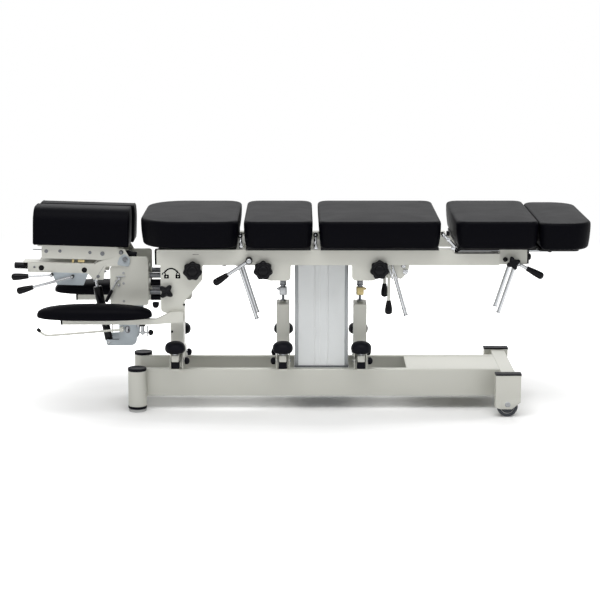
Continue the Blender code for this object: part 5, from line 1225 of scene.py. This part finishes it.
    @staticmethod
    def release_lug():
        """The sloped lug behind the pelvic levers, with its two round screws and the prongs of its fork."""
        face, fork_y = -0.1960, -0.2010
        outline = [(0.3330, 0.5520), (0.3900, 0.5520), (0.3840, 0.5230), (0.3600, 0.4960), (0.3330, 0.5060)]
        lug = slab(rounded(outline, 0.006), "Y", face, -0.1900, 0.0008)
        piece("release_lug", [lug], powder_coat, "top_frame")
        fork = [
            rod(spot(top, fork_y, 0.5490), spot(foot, fork_y, 0.4960), 0.0030)
            for top, foot in ((0.3140, 0.3290), (0.3260, 0.3460))
        ]
        screws = [
            lathe(spot(x, face, z), NEAR, [
                (0, r), (0.003, r), (0.0055, r * 0.65), (0.0055, r * 0.35), (0.004, r * 0.3),
            ])
            for x, z, r in ((0.3675, 0.5446, 0.0085), (0.3749, 0.5232, 0.0100))
        ]
        piece("release_fork", fork, chrome_plate, "top_frame")
        piece("release_screws", screws, chrome_plate, "top_frame", crease=50)


class DROPTABLE_OT_finishes(bpy.types.Operator):
    """Give the solids that show as they are their finishes"""

    bl_idname = "droptable.finishes"
    bl_label = "Finishes"

    def execute(self, context):
        kinds = {
            powder_coat: (
                "wheel_frame", "side_frame_near", "side_frame_far", "frame_cross_head", "lift_subframe",
                "foot_slide_housing", "pedal_tower_chest", "pedal_tower_lumbar", "pedal_tower_pelvic",
                "head_beam", "head_deck", "armrest_arm_near", "armrest_arm_far",
            ),
            anodised_aluminium: ("lift_column_outer",),
            black_laminate: ("chest_board", "lumbar_board", "pelvic_board"),
        }
        for look, names in kinds.items():
            for name in names:
                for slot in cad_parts[name].material_slots:
                    slot.material = look()
        return {"FINISHED"}


# Stage


def viewing(tree):
    """One for camera, glossy and transmission rays, nought for the rest."""
    path = add(tree, "ShaderNodeLightPath").outputs
    most = {"operation": "MAXIMUM"}
    indirect = add(tree, "ShaderNodeMath", most, {0: path["Is Glossy Ray"], 1: path["Is Transmission Ray"]})
    return add(tree, "ShaderNodeMath", most, {0: path["Is Camera Ray"], 1: indirect.outputs[0]}).outputs[0]


def lay_floor(scene, whiteness):
    """A sheet of white paper that is palest away from the table and runs out into plain white.

    As the camera sees it, the tone rises with the distance from the middle, which counts a
    step along X as the share narrow of one along Y: the darker paper near the table is painted shadow.
    Farther off it turns into even light.
    """
    near, middle, narrow, rise = 0.33, 0.90, 0.34, 1.68
    fade_from, fade_to, unseen = 1.7, 4.2, 0.90
    mesh = bpy.data.meshes.new("floor")
    mesh.from_pydata([(-9, -9, 0), (9, -9, 0), (9, 5.5, 0), (-9, 5.5, 0)], [], [(0, 1, 2, 3)])
    floor = bpy.data.objects.new("floor", mesh)
    scene.collection.objects.link(floor)
    paper = bpy.data.materials.new("white_paper")
    paper.use_nodes = True
    tree = paper.node_tree
    shader = tree.nodes["Principled BSDF"]
    shader.inputs["Roughness"].default_value = 0.6
    shader.inputs["Specular IOR Level"].default_value = 0.0
    seen_by = viewing(tree)
    place = add(tree, "ShaderNodeTexCoord").outputs["Object"]
    narrowed = add(tree, "ShaderNodeMapping", {"Scale": (narrow, 1.0, 1.0)}, {"Vector": place})
    away, far = (
        add(tree, "ShaderNodeVectorMath", {"operation": "LENGTH"}, {"Vector": vector}).outputs["Value"]
        for vector in (narrowed.outputs["Vector"], place)
    )
    # Painted shadow: the paper's tone is lowest beside the table and rises with distance from it
    painted_shadow_tone = add(tree, "ShaderNodeMapRange", {
        "From Min": near, "From Max": middle, "To Min": whiteness, "To Max": whiteness * rise,
    }, {"Value": away}).outputs["Result"]
    tone = add(tree, "ShaderNodeMapRange", {"To Min": unseen}, {"Value": seen_by, "To Max": painted_shadow_tone})
    tree.links.new(tone.outputs["Result"], shader.inputs["Base Color"])
    fade = add(tree, "ShaderNodeMapRange", {
        "interpolation_type": "SMOOTHSTEP", "From Min": fade_from, "From Max": fade_to,
    }, {"Value": far}).outputs["Result"]
    share = add(tree, "ShaderNodeMath", {"operation": "MULTIPLY"}, {0: fade, 1: seen_by})
    white = add(tree, "ShaderNodeEmission", {"Color": (1, 1, 1, 1), "Strength": 1.0})
    blend = add(tree, "ShaderNodeMixShader", {}, {
        "Fac": share.outputs[0], 1: shader.outputs[0], 2: white.outputs[0],
    })
    tree.links.new(blend.outputs[0], tree.nodes["Material Output"].inputs["Surface"])
    mesh.materials.append(paper)


def surround(scene, strength):
    """Even white surroundings that light the table less from the near side, and look plain white."""
    front, back, front_share = -0.75, 0.15, 0.20
    world = bpy.data.worlds.new("studio")
    scene.world = world
    world.use_nodes = True
    tree = world.node_tree
    sky = tree.nodes["Background"]
    sky.inputs["Color"].default_value = (1, 1, 1, 1)
    place = add(tree, "ShaderNodeTexCoord").outputs["Generated"]
    way = add(tree, "ShaderNodeSeparateXYZ", {}, {"Vector": place})
    dim = add(tree, "ShaderNodeMapRange", {
        "From Min": front, "From Max": back, "To Min": strength * front_share, "To Max": strength,
    }, {"Value": way.outputs["Y"]})
    tree.links.new(dim.outputs["Result"], sky.inputs["Strength"])
    seen = add(tree, "ShaderNodeBackground", {"Color": (1, 1, 1, 1), "Strength": 1.0})
    mix = add(tree, "ShaderNodeMixShader", {}, {"Fac": viewing(tree), 1: sky.outputs[0], 2: seen.outputs[0]})
    tree.links.new(mix.outputs[0], tree.nodes["World Output"].inputs["Surface"])


def hang_lamps(scene, key):
    """Four soft lamps: one behind, one high in front, and a weak one at either front corner."""
    for name, place, turn, size, share in (
        ("back", (0.0, 3.6, 4.0), (-43, 0, 0), (6.0, 2.4), 1.32),
        ("front_top", (0.0, -2.5, 5.0), (28, 0, 0), (5.0, 3.2), 1.50),
        ("front_left", (-3.6, -4.2, 2.4), (66, 0, -41), (2.6, 2.2), 0.17),
        ("front_right", (3.6, -4.2, 2.4), (66, 0, 41), (2.6, 2.2), 0.16),
    ):
        data = bpy.data.lights.new(name, "AREA")
        data.shape = "RECTANGLE"
        data.size, data.size_y = size
        data.energy = key * share
        lamp = bpy.data.objects.new(name, data)
        lamp.location = place
        lamp.rotation_euler = [math.radians(angle) for angle in turn]
        scene.collection.objects.link(lamp)


def stand_camera(scene, setting):
    """The camera, level from side to side, which looks along Y and down by the pitch."""
    data = bpy.data.cameras.new("camera")
    data.lens = setting.lens
    data.sensor_width = 36.0
    data.sensor_fit = "HORIZONTAL"
    data.clip_end = 60
    camera = bpy.data.objects.new("camera", data)
    camera.location = setting.camera
    camera.rotation_euler = (math.pi / 2 - setting.pitch, 0, 0)
    scene.collection.objects.link(camera)
    scene.camera = camera


class DROPTABLE_OT_stage(bpy.types.Operator):
    """Set the floor, the surroundings, the lights and the camera"""

    bl_idname = "droptable.stage"
    bl_label = "Stage"

    def execute(self, context):
        scene = context.scene
        setting = scene.table_stage
        scene.view_settings.view_transform = "Standard"
        lay_floor(scene, setting.paper)
        surround(scene, setting.sky)
        hang_lamps(scene, setting.key)
        stand_camera(scene, setting)
        return {"FINISHED"}


class DROPTABLE_PT_panel(bpy.types.Panel):
    """The drop table's operators and settings"""

    bl_idname = "DROPTABLE_PT_panel"
    bl_label = "Drop Table"
    bl_space_type = "VIEW_3D"
    bl_region_type = "UI"
    bl_category = "Drop Table"

    def draw(self, context):
        for group in ("table_upholstery", "table_metalwork", "table_controls", "table_stage"):
            settings = getattr(context.scene, group)
            for key in settings.bl_rna.properties.keys():
                if key not in ("rna_type", "name"):
                    self.layout.prop(settings, key)
        for operator in OPERATORS:
            self.layout.operator(operator.bl_idname)


GROUPS = {
    "table_upholstery": UpholsterySettings,
    "table_metalwork": MetalworkSettings,
    "table_controls": ControlSettings,
    "table_stage": StageSettings,
}
OPERATORS = (
    DROPTABLE_OT_stage,
    DROPTABLE_OT_upholstery,
    DROPTABLE_OT_head_cushions,
    DROPTABLE_OT_armrest_pads,
    DROPTABLE_OT_knobs,
    DROPTABLE_OT_hand_levers,
    DROPTABLE_OT_cocking_levers,
    DROPTABLE_OT_pedals,
    DROPTABLE_OT_push_rods,
    DROPTABLE_OT_base,
    DROPTABLE_OT_leg_slide,
    DROPTABLE_OT_head_carrier,
    DROPTABLE_OT_head_rest,
    DROPTABLE_OT_frame_trim,
    DROPTABLE_OT_finishes,
)


def register():
    for cls in (*GROUPS.values(), *OPERATORS, DROPTABLE_PT_panel):
        bpy.utils.register_class(cls)
    for name, group in GROUPS.items():
        setattr(bpy.types.Scene, name, PointerProperty(type=group))


def unregister():
    for name in GROUPS:
        delattr(bpy.types.Scene, name)
    for cls in reversed((*GROUPS.values(), *OPERATORS, DROPTABLE_PT_panel)):
        bpy.utils.unregister_class(cls)


def main():
    register()
    for operator in OPERATORS:
        group, name = operator.bl_idname.split(".")
        result = getattr(getattr(bpy.ops, group), name)()
        if "FINISHED" not in result:
            raise RuntimeError(operator.bl_label + " did not finish")


if __name__ == "__main__":
    main()
